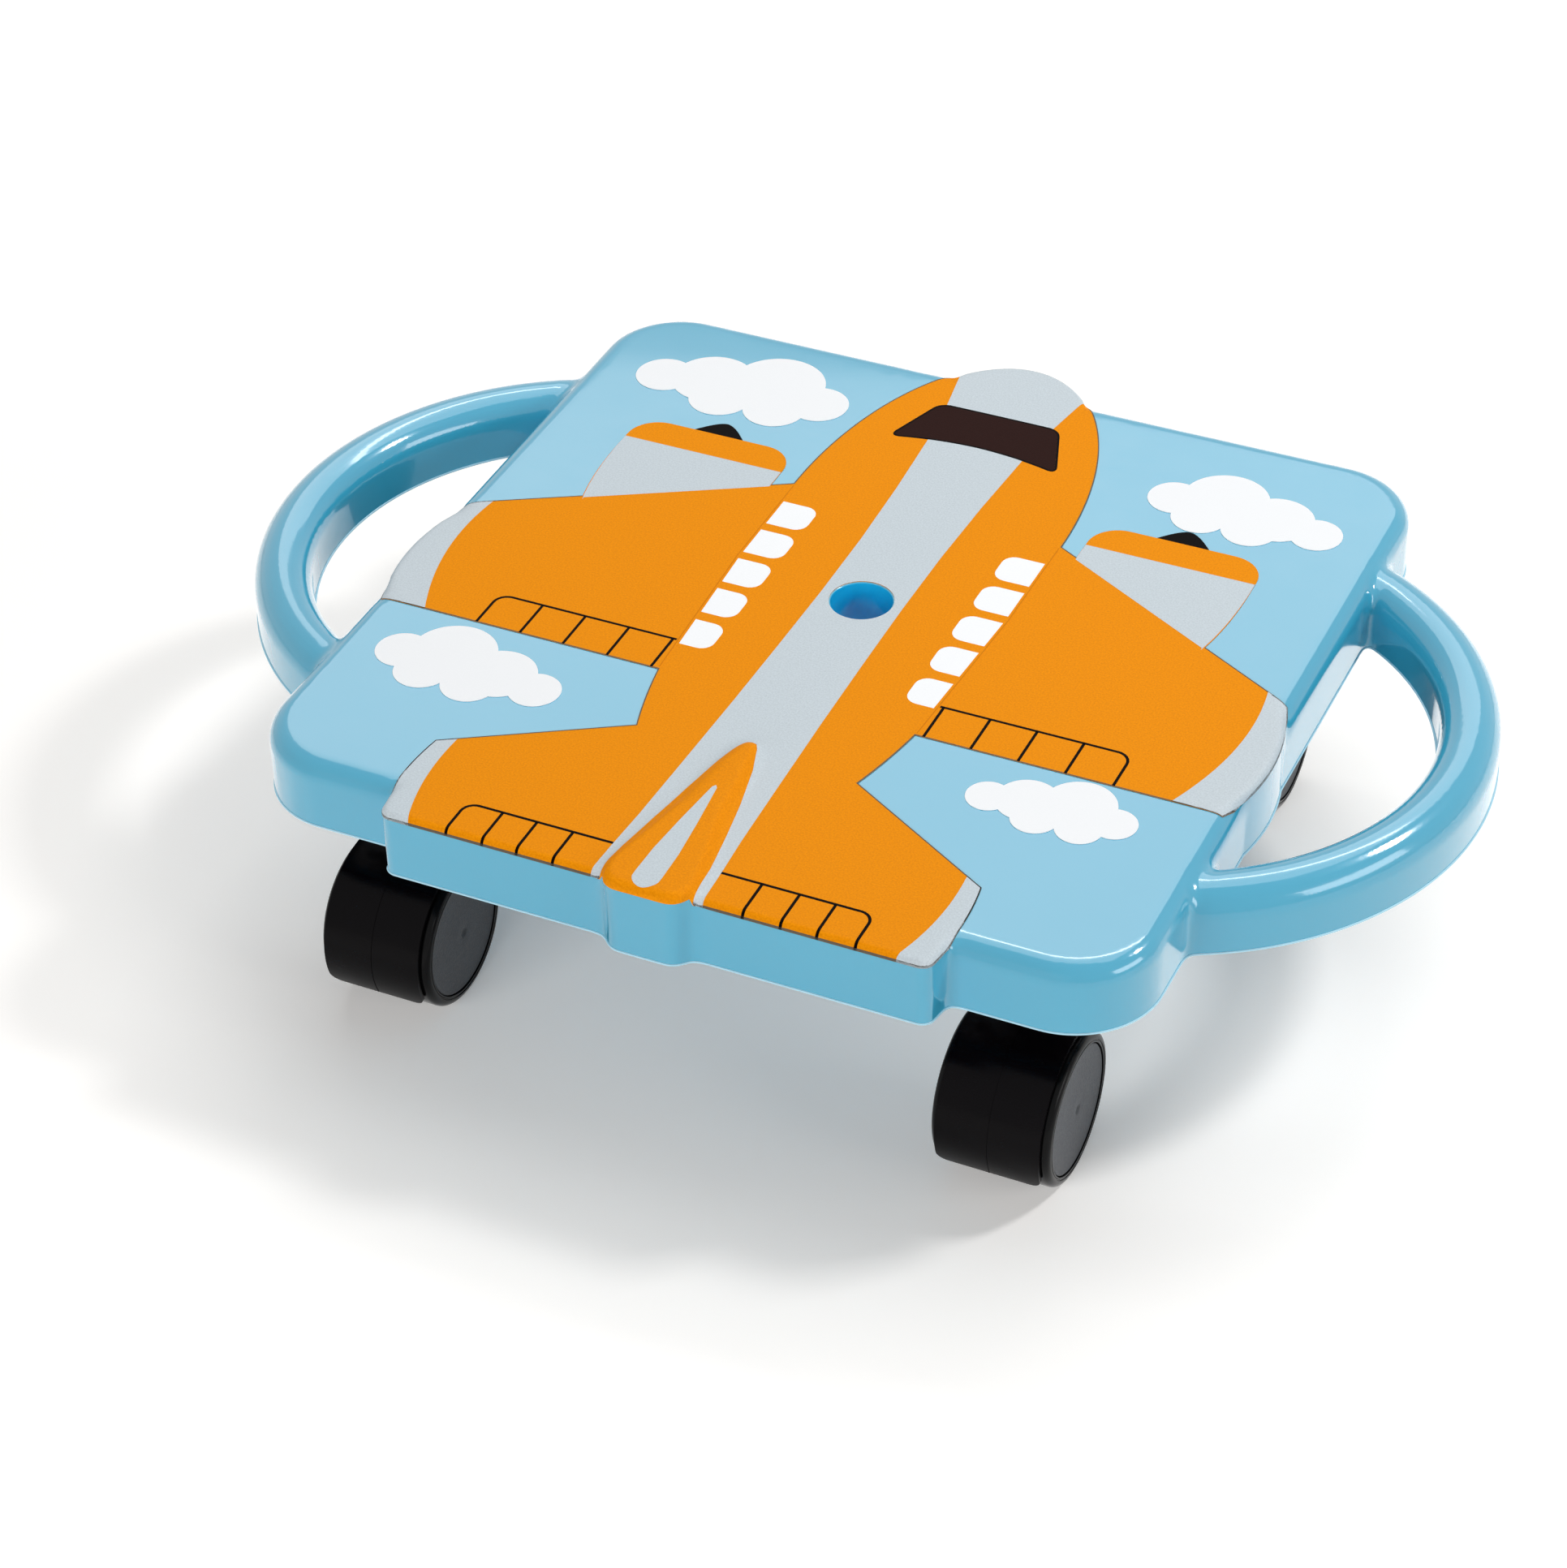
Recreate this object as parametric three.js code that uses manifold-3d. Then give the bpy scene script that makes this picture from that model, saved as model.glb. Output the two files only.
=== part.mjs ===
// A child's scooter board: a moulded plastic deck with a ring handle on each side, a printed
// airplane and clouds on top, a rope hole in the middle and four swivelling twin-wheel casters.
// Millimetres, +Z up, +Y towards the airplane's nose, floor at z = 0.
// Plan sizes are measured from the middle of the rope hole, which the last lines move to its place.
import * as THREE from 'three';
import { mergeVertices } from 'three/addons/utils/BufferGeometryUtils.js';
import Module from 'manifold-3d';

// Deck
const deckWidth = 294.4;
const deckFrontReach = 139;
const deckRearReach = 146;
const deckCornerRadius = 28;
const deckEdgeRadius = 6.5;
const skinThickness = 4;
const skirtHeight = 24;
const skirtWall = 3;
const boardHeight = 99.2;

// Airplane moulded into the deck
const airplaneEdgeRadius = 2.2;
const noseProud = 13;
const tailProud = 11.6;
const fuselageHalfWidth = 47.7;
const wingRootFront = 53;
const wingRootRear = 58.8;
const wingSweepShare = 0.5535;
const wingTipProud = 2;
const wingTipSetback = 3.6;
const fuselageRearHalfWidth = 43.6;
const tailRootHalfWidth = 36.9;
const tailRootReach = 88.5;
const tailHalfSpan = 90.4;
const tailTipReach = 120;
const tailTipBulge = 1.4;
const tailCornerRadius = 4;

// Fin, a ridge on the tail that runs down the rear wall. Its shoulders lie past the deck's edge.
const finTipReach = 83;
const finHalfWidth = 14.8;
const finShoulderReach = 6;
const finProud = 5.6;
const finRise = 3.2;
const finBluntShare = 0.9;

// Ring handles
const handleReach = 62.8;
const handleOuterRadius = 106;
const handleWidth = 20;
const handleDrop = 2.4;
const handleCentreSetback = 1.6;
const handleWall = 3;
const handleRibThickness = 2.2;
const handleRibLift = 3;
const handleRibStep = Math.PI / 9;

// Underside
const ribThickness = 2.2;
const ribPitch = 41;
const ribDepth = 9;

// Rope hole
const ropeHoleRadius = 10;
const ropeCollarWall = 3;
const ropeCollarDepth = 21;
const ropeRimRadius = 1.6;

// Caster seats under the deck
const casterInset = 42.5;
const casterHeight = 64;
const seatHalfWidth = 23;
const seatWall = 3.5;
const seatCornerRadius = 6;
const screwBossRadius = 4.5;
const screwPatternHalf = 15;

// Caster
const plateHalfWidth = 21.5;
const plateThickness = 2.5;
const plateCornerRadius = 5;
const kingpinRadius = 4;
const kingpinHeadRadius = 7;
const kingpinHeadHeight = 2;
const kingpinGrip = 14;
const kingpinGrooveDepth = 0.6;
const kingpinGrooveWidth = 1.5;
const washerRadius = 9.5;
const washerThickness = 1;
const neckRadius = 10.5;
const neckLength = 25;
const axleOffset = 17.6;
const axleRadius = 3;
const axleBossRadius = 7;
const wheelRadius = 25;
const twinWidth = 38.4;
const webThickness = 3.4;
const hoodWall = 1.5;
const hoodSetback = 2.4;
const hoodLipAngle = THREE.MathUtils.degToRad(228);
const hoodBackAngle = THREE.MathUtils.degToRad(35);

// Wheel
const wheelChamfer = 1.2;
const wheelShoulder = 2;
const wheelHubRadius = 6.5;
const wheelRimThickness = 4.5;
const wheelHollowDepth = 9;
const wheelBoreDepth = 12;
const capRadius = 20.8;
const capThickness = 1.2;
const capSunk = 0.2;

// Screw
const screwRadius = 2;
const screwLength = 15;
const screwTipLength = 2;
const screwHeadRadius = 4;
const screwHeadHeight = 2.4;

// Printed films
const filmThickness = 0.35;
const engineCentre = 84;
const engineHalfWidth = 29.2;
const engineFront = 70.4;
const engineCornerRadius = 11;
const engineTaper = 3.4;
const spinnerHalfWidth = 9;
const spinnerLength = 7.2;

// Clearances
const runningGap = 0.3;
const sideGap = 0.5;
const hoodGap = 0.5;
const fitGap = 0.05;
const screwHoleGap = 0.6;
const capGap = 0.3;
const cloudGap = 0.5;
const overrun = 1;

// Smoothness
const weldTolerance = 1e-4;
const cornerSteps = 4;
const deckEdgeSteps = 3;
const smallEdgeSteps = 2;
const airplaneSteps = 5;
const curveSteps = 4;
const handleSides = 56;
const handleTopSteps = 4;
const ropeHoleSides = 20;
const hoodSides = 24;
const neckSides = 12;
const wheelSides = 20;
const turnedSides = 12;
const screwSides = 8;
const lobeSides = 12;

// Worked out from the sizes above
const deckHalfWidth = deckWidth / 2;
const skirtBottom = boardHeight - skirtHeight;
const skinBottom = boardHeight - skinThickness;
const ribBottom = skinBottom - ribDepth;
const collarBottom = boardHeight - ropeCollarDepth;
const noseReach = deckFrontReach + noseProud;
const tailReach = deckRearReach + tailProud;
const finReach = tailReach + finProud;
const finShoulder = deckRearReach + finShoulderReach;
const handleInnerRadius = handleOuterRadius - handleWidth;
const handleCentreX = deckHalfWidth + handleReach - handleOuterRadius;
const handleTop = boardHeight - handleDrop;
const casterX = deckHalfWidth - casterInset;
const plateBottom = casterHeight - plateThickness;
const washerBottom = plateBottom - washerThickness;
const neckTop = washerBottom - runningGap;
const axleHeight = wheelRadius * Math.cos(Math.PI / wheelSides);
const wheelInnerFace = webThickness / 2 + sideGap;
const wheelWidth = twinWidth / 2 - wheelInnerFace;
const hoodRadius = wheelRadius + hoodGap + hoodWall;
const hoodHalfWidth = twinWidth / 2 - hoodSetback;

function paint(color, roughness, metalness) {
  return new THREE.MeshStandardMaterial({ color, roughness, metalness });
}

const skyBlue = paint(0x6cb8d8, 0.3, 0);
const orangePrint = paint(0xe48a08, 0.6, 0);
const whitePrint = paint(0xf2f3f5, 0.5, 0);
const zincSteel = paint(0xb9bcc0, 0.35, 1);
const whiteNylon = paint(0xd8d8d2, 0.5, 0);
const blackNylon = paint(0x141214, 0.4, 0);
const greyTread = paint(0x2b2c2f, 0.5, 0);
const greyCap = paint(0x4a4c50, 0.75, 0);

const wasm = await Module();
wasm.setup();

// Turns a closed three.js geometry into a solid, with its faces pointing out.
function solidOf(geometry) {
  const bare = geometry.index ? geometry.toNonIndexed() : geometry.clone();
  bare.deleteAttribute('normal');
  bare.deleteAttribute('uv');
  const welded = mergeVertices(bare, weldTolerance);
  const position = welded.attributes.position;
  const corners = [];
  const a = new THREE.Vector3();
  const b = new THREE.Vector3();
  const c = new THREE.Vector3();
  let volume = 0;
  for (let i = 0; i < welded.index.count; i += 3) {
    const [p, q, r] = [0, 1, 2].map((k) => welded.index.getX(i + k));
    if (p === q || q === r || r === p) continue;
    corners.push(p, q, r);
    a.fromBufferAttribute(position, p);
    b.fromBufferAttribute(position, q);
    c.fromBufferAttribute(position, r);
    volume += a.dot(b.cross(c));
  }
  if (volume < 0) corners.reverse();
  return new wasm.Manifold(new wasm.Mesh({
    numProp: 3,
    vertProperties: Float32Array.from(position.array),
    triVerts: Uint32Array.from(corners),
  }));
}

// Turns a solid back into a three.js geometry.
function geometryOf(solid) {
  const mesh = solid.getMesh();
  const geometry = new THREE.BufferGeometry();
  geometry.setAttribute('position', new THREE.BufferAttribute(mesh.vertProperties, 3));
  geometry.setIndex(new THREE.BufferAttribute(mesh.triVerts, 1));
  geometry.computeVertexNormals();
  return geometry;
}

const joined = (solids) => solids.reduce((sum, solid) => sum.add(solid));

// An outline's points, without the repeated ones where its curves meet.
function cleanPoints(shape, steps) {
  return shape.getPoints(steps).filter((point, i, all) => {
    const next = all[(i + 1) % all.length];
    return point.distanceTo(next) > weldTolerance;
  });
}

// An upright prism with square edges.
function prism(shape, bottom, top, steps = cornerSteps) {
  const geometry = new THREE.ExtrudeGeometry(new THREE.Shape(cleanPoints(shape, steps)), {
    depth: top - bottom,
    bevelEnabled: false,
  });
  return solidOf(geometry.translate(0, 0, bottom));
}

// An upright box between two corners.
function block(low, high) {
  const size = high.map((value, i) => value - low[i]);
  const geometry = new THREE.BoxGeometry(...size);
  return solidOf(geometry.translate(...low.map((value, i) => value + size[i] / 2)));
}

// An upright prism whose top edge is rounded. The rounding at its foot is cut away.
function roundedPrism(shape, bottom, top, radius, steps) {
  const foot = bottom - overrun;
  const geometry = new THREE.ExtrudeGeometry(new THREE.Shape(cleanPoints(shape, cornerSteps)), {
    depth: top - radius - foot,
    bevelThickness: radius,
    bevelSize: radius,
    bevelOffset: -radius,
    bevelSegments: steps,
  });
  const solid = solidOf(geometry.translate(0, 0, foot));
  const reach = deckWidth;
  return solid.subtract(block([-reach, -reach, foot - radius - overrun], [reach, reach, bottom]));
}

// A body turned about the Z axis, with a flat of its outline facing each way along X and Y.
function turned(profile, sides) {
  const points = profile.map(([radius, height]) => new THREE.Vector2(radius, height));
  return new THREE.LatheGeometry(points, sides, Math.PI / sides).rotateX(Math.PI / 2);
}

function rod(radius, bottom, top, sides, x = 0, y = 0) {
  const profile = [[0, bottom], [radius, bottom], [radius, top], [0, top]];
  return solidOf(turned(profile, sides).translate(x, y, 0));
}

function roundedRectangle(left, right, rear, front, radius) {
  const shape = new THREE.Shape();
  shape.moveTo(right, rear + radius);
  shape.lineTo(right, front - radius);
  shape.absarc(right - radius, front - radius, radius, 0, Math.PI / 2, false);
  shape.lineTo(left + radius, front);
  shape.absarc(left + radius, front - radius, radius, Math.PI / 2, Math.PI, false);
  shape.lineTo(left, rear + radius);
  shape.absarc(left + radius, rear + radius, radius, Math.PI, Math.PI * 1.5, false);
  shape.lineTo(right - radius, rear);
  shape.absarc(right - radius, rear + radius, radius, -Math.PI / 2, 0, false);
  return shape;
}

// A closed outline from its right half, which runs from the nose side to the tail side.
function mirrored(path, steps) {
  const right = path.getPoints(steps);
  const left = right.map((point) => new THREE.Vector2(-point.x, point.y)).reverse();
  const onAxis = (point) => Math.abs(point.x) < weldTolerance;
  return new THREE.Shape([...right, ...left.filter((point) => !onAxis(point))]);
}

// The same outline moved inwards by a distance, with mitred corners.
function inset(shape, distance) {
  const points = cleanPoints(shape, cornerSteps);
  const inward = THREE.ShapeUtils.isClockWise(points) ? -distance : distance;
  const moved = points.map((point, i) => {
    const before = points[(i + points.length - 1) % points.length];
    const after = points[(i + 1) % points.length];
    const d1 = point.clone().sub(before).normalize();
    const d2 = after.clone().sub(point).normalize();
    const n1 = new THREE.Vector2(-d1.y, d1.x);
    const n2 = new THREE.Vector2(-d2.y, d2.x);
    const mitre = n1.clone().add(n2).multiplyScalar(inward / (1 + n1.dot(n2)));
    return point.clone().add(mitre);
  });
  return new THREE.Shape(moved);
}

function deckOutline() {
  return roundedRectangle(-deckHalfWidth, deckHalfWidth, -deckRearReach, deckFrontReach, deckCornerRadius);
}

// The airplane from above: nose, straight leading edges, bowed wing tips and a square tail.
function airplaneOutline() {
  const tipX = deckHalfWidth - wingTipSetback;
  const bulgeX = deckHalfWidth + wingTipProud;
  const tipY = wingRootFront - (tipX - fuselageHalfWidth) * wingSweepShare;
  const path = new THREE.Path();
  path.moveTo(0, noseReach);
  path.absellipse(0, wingRootFront, fuselageHalfWidth, noseReach - wingRootFront, Math.PI / 2, 0, true);
  path.lineTo(tipX, tipY);
  path.quadraticCurveTo(2 * bulgeX - tipX, (tipY - wingRootRear) / 2, tipX, -wingRootRear);
  path.lineTo(fuselageRearHalfWidth, -wingRootRear);
  const waistX = (fuselageRearHalfWidth + tailRootHalfWidth) / 2 + airplaneEdgeRadius / 2;
  path.quadraticCurveTo(waistX, -(wingRootRear + tailRootReach) / 2, tailRootHalfWidth, -tailRootReach);
  path.lineTo(tailHalfSpan, -tailTipReach);
  path.quadraticCurveTo(
    tailHalfSpan + 2 * tailTipBulge, -(tailTipReach + tailReach) / 2,
    tailHalfSpan, -tailReach + tailCornerRadius,
  );
  const cornerX = tailHalfSpan - tailCornerRadius;
  path.absarc(cornerX, -tailReach + tailCornerRadius, tailCornerRadius, 0, -Math.PI / 2, true);
  path.lineTo(0, -tailReach);
  return mirrored(path, airplaneSteps);
}

// The right half of the fin from above: a point that widens to a blunt, rounded end.
function finSide() {
  const path = new THREE.Path();
  path.moveTo(0, -finTipReach);
  const halfWay = (finTipReach + finShoulder) / 2;
  path.quadraticCurveTo(finHalfWidth / 3, -finTipReach, finHalfWidth / 2, -halfWay);
  path.lineTo(finHalfWidth, -finShoulder);
  const bluntX = finHalfWidth * finBluntShare;
  path.bezierCurveTo(finHalfWidth, -tailReach, bluntX, -finReach, finHalfWidth / 2, -finReach);
  path.lineTo(0, -finReach);
  return path;
}

const finOutline = () => mirrored(finSide(), curveSteps);

// The fin's ridge: the same outline turned about its long axis and pressed flat.
function finRidge() {
  const ridge = new THREE.LatheGeometry(finSide().getPoints(curveSteps), turnedSides);
  return solidOf(ridge.scale(1, 1, finRise / finHalfWidth).translate(0, 0, boardHeight));
}

// One ring handle's section turned about its upright axis: a round top on straight sides.
function handleRing(inward, bottom, top) {
  const radius = handleWidth / 2 - inward;
  const middle = (handleInnerRadius + handleOuterRadius) / 2;
  const arcHeight = top - radius;
  const profile = [[middle - radius, bottom], [middle + radius, bottom]];
  for (let step = 0; step <= handleTopSteps; step += 1) {
    const angle = Math.PI * step / handleTopSteps;
    profile.push([middle + radius * Math.cos(angle), arcHeight + radius * Math.sin(angle)]);
  }
  profile.push(profile[0]);
  return solidOf(turned(profile, handleSides).translate(handleCentreX, -handleCentreSetback, 0));
}

// Both handles as an outer solid and the channel that is moulded out of their underside.
function handles() {
  const reach = deckWidth;
  const inside = (edge) => block([-reach, -reach, 0], [edge, reach, boardHeight + overrun]);
  const outer = handleRing(0, skirtBottom, handleTop).subtract(inside(deckHalfWidth - skirtWall / 2));
  let channel = handleRing(handleWall, skirtBottom - overrun, handleTop - handleWall);
  channel = channel.subtract(inside(deckHalfWidth));
  for (let angle = -Math.PI / 2; angle <= Math.PI / 2; angle += handleRibStep) {
    const rib = new THREE.BoxGeometry(handleWidth, handleRibThickness, boardHeight);
    const middle = (handleInnerRadius + handleOuterRadius) / 2;
    rib.translate(middle, 0, boardHeight / 2 + skirtBottom + handleRibLift);
    rib.rotateZ(angle);
    channel = channel.subtract(solidOf(rib.translate(handleCentreX, -handleCentreSetback, 0)));
  }
  const both = (solid) => [solid, solid.mirror([1, 0, 0])];
  return { outer: both(outer), channel: both(channel) };
}

const casters = [
  { name: 'front_left', x: -casterX, y: deckFrontReach - casterInset },
  { name: 'front_right', x: casterX, y: deckFrontReach - casterInset },
  { name: 'rear_left', x: -casterX, y: casterInset - deckRearReach },
  { name: 'rear_right', x: casterX, y: casterInset - deckRearReach },
];

const screwPlaces = [[-1, 1], [1, 1], [-1, -1], [1, -1]].map(([sx, sy]) => [
  sx * screwPatternHalf,
  sy * screwPatternHalf,
]);

function square(half, radius, x, y) {
  return roundedRectangle(x - half, x + half, y - half, y + half, radius);
}

// The box-shaped seat that carries one caster: its outside, its hollow and its screw holes.
function casterSeat({ x, y }) {
  const innerHalf = seatHalfWidth - seatWall;
  const innerRadius = seatCornerRadius - seatWall;
  const seat = square(seatHalfWidth, seatCornerRadius, x, y);
  const outer = prism(seat, casterHeight, skinBottom + overrun, smallEdgeSteps);
  const inside = square(innerHalf, innerRadius, x, y);
  let hollow = prism(inside, casterHeight - overrun, skinBottom, smallEdgeSteps);
  const holes = [];
  for (const [dx, dy] of screwPlaces) {
    const ends = [casterHeight - 2 * overrun, boardHeight];
    hollow = hollow.subtract(rod(screwBossRadius, ...ends, screwSides, x + dx, y + dy));
    const depth = screwLength - plateThickness + overrun;
    const hole = [casterHeight - overrun, casterHeight + depth];
    holes.push(rod(screwRadius + fitGap, ...hole, screwSides, x + dx, y + dy));
  }
  return { outer, hollow, holes };
}

// The straight ribs under the deck, a square grid that starts from the rope hole.
function ribs() {
  const bars = [];
  const reach = deckWidth;
  for (let line = 0; line < deckHalfWidth; line += ribPitch) {
    for (const place of line ? [-line, line] : [line]) {
      const sides = [place - ribThickness / 2, place + ribThickness / 2];
      bars.push(block([sides[0], -reach, ribBottom], [sides[1], reach, boardHeight]));
      bars.push(block([-reach, sides[0], ribBottom], [reach, sides[1], boardHeight]));
    }
  }
  return joined(bars);
}

// The rope hole, with its rim rounded at the top and the bottom.
function ropeHole() {
  const flare = ropeHoleRadius + ropeRimRadius;
  const profile = [
    [0, collarBottom - overrun],
    [flare, collarBottom - overrun],
    [flare, collarBottom],
    [ropeHoleRadius, collarBottom + ropeRimRadius],
    [ropeHoleRadius, boardHeight - ropeRimRadius],
    [flare, boardHeight],
    [flare, boardHeight + overrun],
    [0, boardHeight + overrun],
  ];
  return solidOf(turned(profile, ropeHoleSides));
}

// The deck is one moulding: top skin, skirt, airplane, fin, handles, ribs, rope collar and seats.
function deckShell() {
  const seats = casters.map(casterSeat);
  const grips = handles();
  const outside = joined([
    roundedPrism(deckOutline(), skirtBottom, boardHeight, deckEdgeRadius, deckEdgeSteps),
    roundedPrism(airplaneOutline(), skirtBottom, boardHeight, airplaneEdgeRadius, smallEdgeSteps),
    prism(finOutline(), skirtBottom, boardHeight),
    finRidge(),
    ...grips.outer,
    ...seats.map((seat) => seat.outer),
  ]);
  const cavity = joined([deckOutline(), airplaneOutline()].map((outline) => prism(
    inset(outline, skirtWall), skirtBottom - overrun, skinBottom,
  )));
  const collarRadius = ropeHoleRadius + ropeRimRadius + ropeCollarWall;
  const collar = rod(collarRadius, collarBottom, boardHeight, ropeHoleSides);
  const kept = joined([ribs(), collar, ...seats.map((seat) => seat.outer)]);
  const cuts = [
    cavity.subtract(kept),
    ...grips.channel,
    ...seats.map((seat) => seat.hollow),
    ...seats.flatMap((seat) => seat.holes),
    ropeHole(),
  ];
  return cuts.reduce((solid, cut) => solid.subtract(cut), outside);
}

// One jet engine of the print: a round-cornered cowl that tapers to the wing, with its spinner.
function engineOutline(side) {
  const left = engineCentre - engineHalfWidth;
  const right = engineCentre + engineHalfWidth;
  const r = engineCornerRadius;
  const shape = new THREE.Shape();
  shape.moveTo(left, 0);
  shape.lineTo(left, engineFront - r);
  shape.absarc(left + r, engineFront - r, r, Math.PI, Math.PI / 2, true);
  shape.lineTo(engineCentre - spinnerHalfWidth, engineFront);
  shape.quadraticCurveTo(engineCentre - spinnerHalfWidth / 3, engineFront + spinnerLength,
    engineCentre, engineFront + spinnerLength);
  shape.quadraticCurveTo(engineCentre + spinnerHalfWidth / 3, engineFront + spinnerLength,
    engineCentre + spinnerHalfWidth, engineFront);
  shape.lineTo(right - r, engineFront);
  shape.absarc(right - r, engineFront - r, r, Math.PI / 2, 0, true);
  shape.lineTo(right - engineTaper, 0);
  const points = shape.getPoints(curveSteps);
  return new THREE.Shape(points.map((point) => new THREE.Vector2(side * point.x, point.y)));
}

// The airplane's printed film lies on the flat top only, round the fin and the rope hole.
function airplaneFilm() {
  const top = boardHeight + filmThickness;
  const flat = prism(inset(deckOutline(), deckEdgeRadius), boardHeight, top)
    .add(prism(inset(airplaneOutline(), airplaneEdgeRadius), boardHeight, top));
  const print = joined([
    prism(airplaneOutline(), boardHeight, top),
    prism(engineOutline(-1), boardHeight, top),
    prism(engineOutline(1), boardHeight, top),
  ]);
  const fin = prism(inset(finOutline(), -filmThickness), boardHeight - overrun, top + overrun);
  const holeRadius = ropeHoleRadius + ropeRimRadius + filmThickness;
  const hole = rod(holeRadius, boardHeight - overrun, top + overrun, ropeHoleSides);
  return print.intersect(flat).subtract(fin).subtract(hole);
}

// Clouds are round lobes on a row of smaller ones, as shares of the cloud's width from its middle.
// Their print stops short of the airplane's.
const cloudLobeShares = [
  [-0.34, 0, 0.15], [-0.13, 0.1, 0.2], [0.14, 0.13, 0.17], [0.36, -0.01, 0.14],
  [0.16, -0.1, 0.14], [-0.1, -0.11, 0.13],
];

// The clouds' places and widths, as shares of the deck's half width and of its reach on their side.
const cloudShares = [
  { name: 'front_left', across: -0.605, along: 0.712, width: 0.53, turn: -1 },
  { name: 'front_right', across: 0.659, along: 0.669, width: 0.462, turn: 1 },
  { name: 'rear_left', across: -0.673, along: -0.575, width: 0.448, turn: 1 },
  { name: 'rear_right', across: 0.652, along: -0.534, width: 0.367, turn: -1 },
];

function cloudFilm(share) {
  const x = share.across * deckHalfWidth;
  const y = share.along * (share.along > 0 ? deckFrontReach : deckRearReach);
  const width = share.width * deckHalfWidth;
  const cloud = joined(cloudLobeShares.map(([across, up, radius]) => rod(
    radius * width, boardHeight, boardHeight + filmThickness, lobeSides,
    x + share.turn * across * width, y + up * width,
  )));
  const airplane = [airplaneOutline(), engineOutline(-1), engineOutline(1)].map((outline) => prism(
    inset(outline, -cloudGap), boardHeight - overrun, boardHeight + overrun,
  ));
  return cloud.subtract(joined(airplane));
}

// Caster pieces stand on the floor at z = 0, with the kingpin's axis at x = y = 0.
function casterPlate() {
  const outline = square(plateHalfWidth, plateCornerRadius, 0, 0);
  let plate = prism(outline, plateBottom, casterHeight, smallEdgeSteps);
  const ends = [plateBottom - overrun, casterHeight + overrun];
  plate = plate.subtract(rod(kingpinRadius + fitGap, ...ends, turnedSides));
  for (const [x, y] of screwPlaces) {
    plate = plate.subtract(rod(screwRadius + screwHoleGap, ...ends, screwSides, x, y));
  }
  return plate;
}

function kingpin() {
  const grooveRadius = kingpinRadius - kingpinGrooveDepth;
  const bottom = neckTop - kingpinGrip;
  const grooveBottom = bottom + kingpinGrooveWidth;
  const grooveTop = grooveBottom + kingpinGrooveWidth;
  const profile = [
    [0, bottom], [kingpinRadius, bottom], [kingpinRadius, grooveBottom], [grooveRadius, grooveBottom],
    [grooveRadius, grooveTop], [kingpinRadius, grooveTop], [kingpinRadius, casterHeight],
    [kingpinHeadRadius, casterHeight], [kingpinHeadRadius, casterHeight + kingpinHeadHeight],
    [0, casterHeight + kingpinHeadHeight],
  ];
  return turned(profile, turnedSides);
}

function washer() {
  const bore = kingpinRadius + fitGap;
  const profile = [[bore, washerBottom], [washerRadius, washerBottom], [washerRadius, plateBottom],
    [bore, plateBottom], [bore, washerBottom]];
  return turned(profile, turnedSides);
}

function screw() {
  const top = plateBottom + screwLength;
  const headBottom = plateBottom - screwHeadHeight;
  const profile = [
    [0, headBottom], [screwHeadRadius, headBottom], [screwHeadRadius, plateBottom],
    [screwRadius, plateBottom], [screwRadius, top - screwTipLength], [0, top],
  ];
  return turned(profile, screwSides);
}

// Lays a geometry that was drawn in the XY plane or turned about Z along the axle.
const alongAxle = (geometry) => geometry.rotateY(Math.PI / 2).translate(0, -axleOffset, axleHeight);

// The hood seen from the side: it covers the wheels from its lip over the top to the neck.
function hoodOutline() {
  const shape = new THREE.Shape();
  shape.moveTo(hoodRadius * Math.cos(hoodLipAngle), hoodRadius * Math.sin(hoodLipAngle));
  shape.absarc(0, 0, hoodRadius, hoodLipAngle, hoodBackAngle, true);
  shape.lineTo(axleBossRadius, 0);
  shape.absarc(0, 0, axleBossRadius, 0, -Math.PI / 2, true);
  return shape;
}

function hood() {
  const sheet = new THREE.ExtrudeGeometry(hoodOutline(), {
    depth: 2 * hoodHalfWidth,
    bevelEnabled: false,
    curveSegments: hoodSides / 2,
  });
  const sideways = new THREE.Matrix4().makeBasis(
    new THREE.Vector3(0, 1, 0), new THREE.Vector3(0, 0, 1), new THREE.Vector3(1, 0, 0),
  );
  sheet.translate(0, 0, -hoodHalfWidth).applyMatrix4(sideways).translate(0, -axleOffset, axleHeight);
  let solid = solidOf(sheet).add(rod(neckRadius, neckTop - neckLength, neckTop, neckSides));
  for (const side of [-1, 1]) {
    const room = rod(wheelRadius + hoodGap, webThickness / 2, twinWidth, hoodSides);
    const turnedRoom = alongAxle(geometryOf(room));
    if (side < 0) turnedRoom.rotateZ(Math.PI).translate(0, -2 * axleOffset, 0);
    solid = solid.subtract(solidOf(turnedRoom));
  }
  const pinBottom = neckTop - kingpinGrip - runningGap;
  const pinHole = rod(kingpinRadius + runningGap, pinBottom, neckTop + overrun, turnedSides);
  const axleHole = rod(axleRadius + fitGap, -webThickness, webThickness, turnedSides);
  return solid.subtract(pinHole).subtract(solidOf(alongAxle(geometryOf(axleHole))));
}

function axle() {
  const half = wheelInnerFace + wheelBoreDepth - runningGap;
  const profile = [[0, -half], [axleRadius, -half], [axleRadius, half], [0, half]];
  return alongAxle(turned(profile, turnedSides));
}

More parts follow.
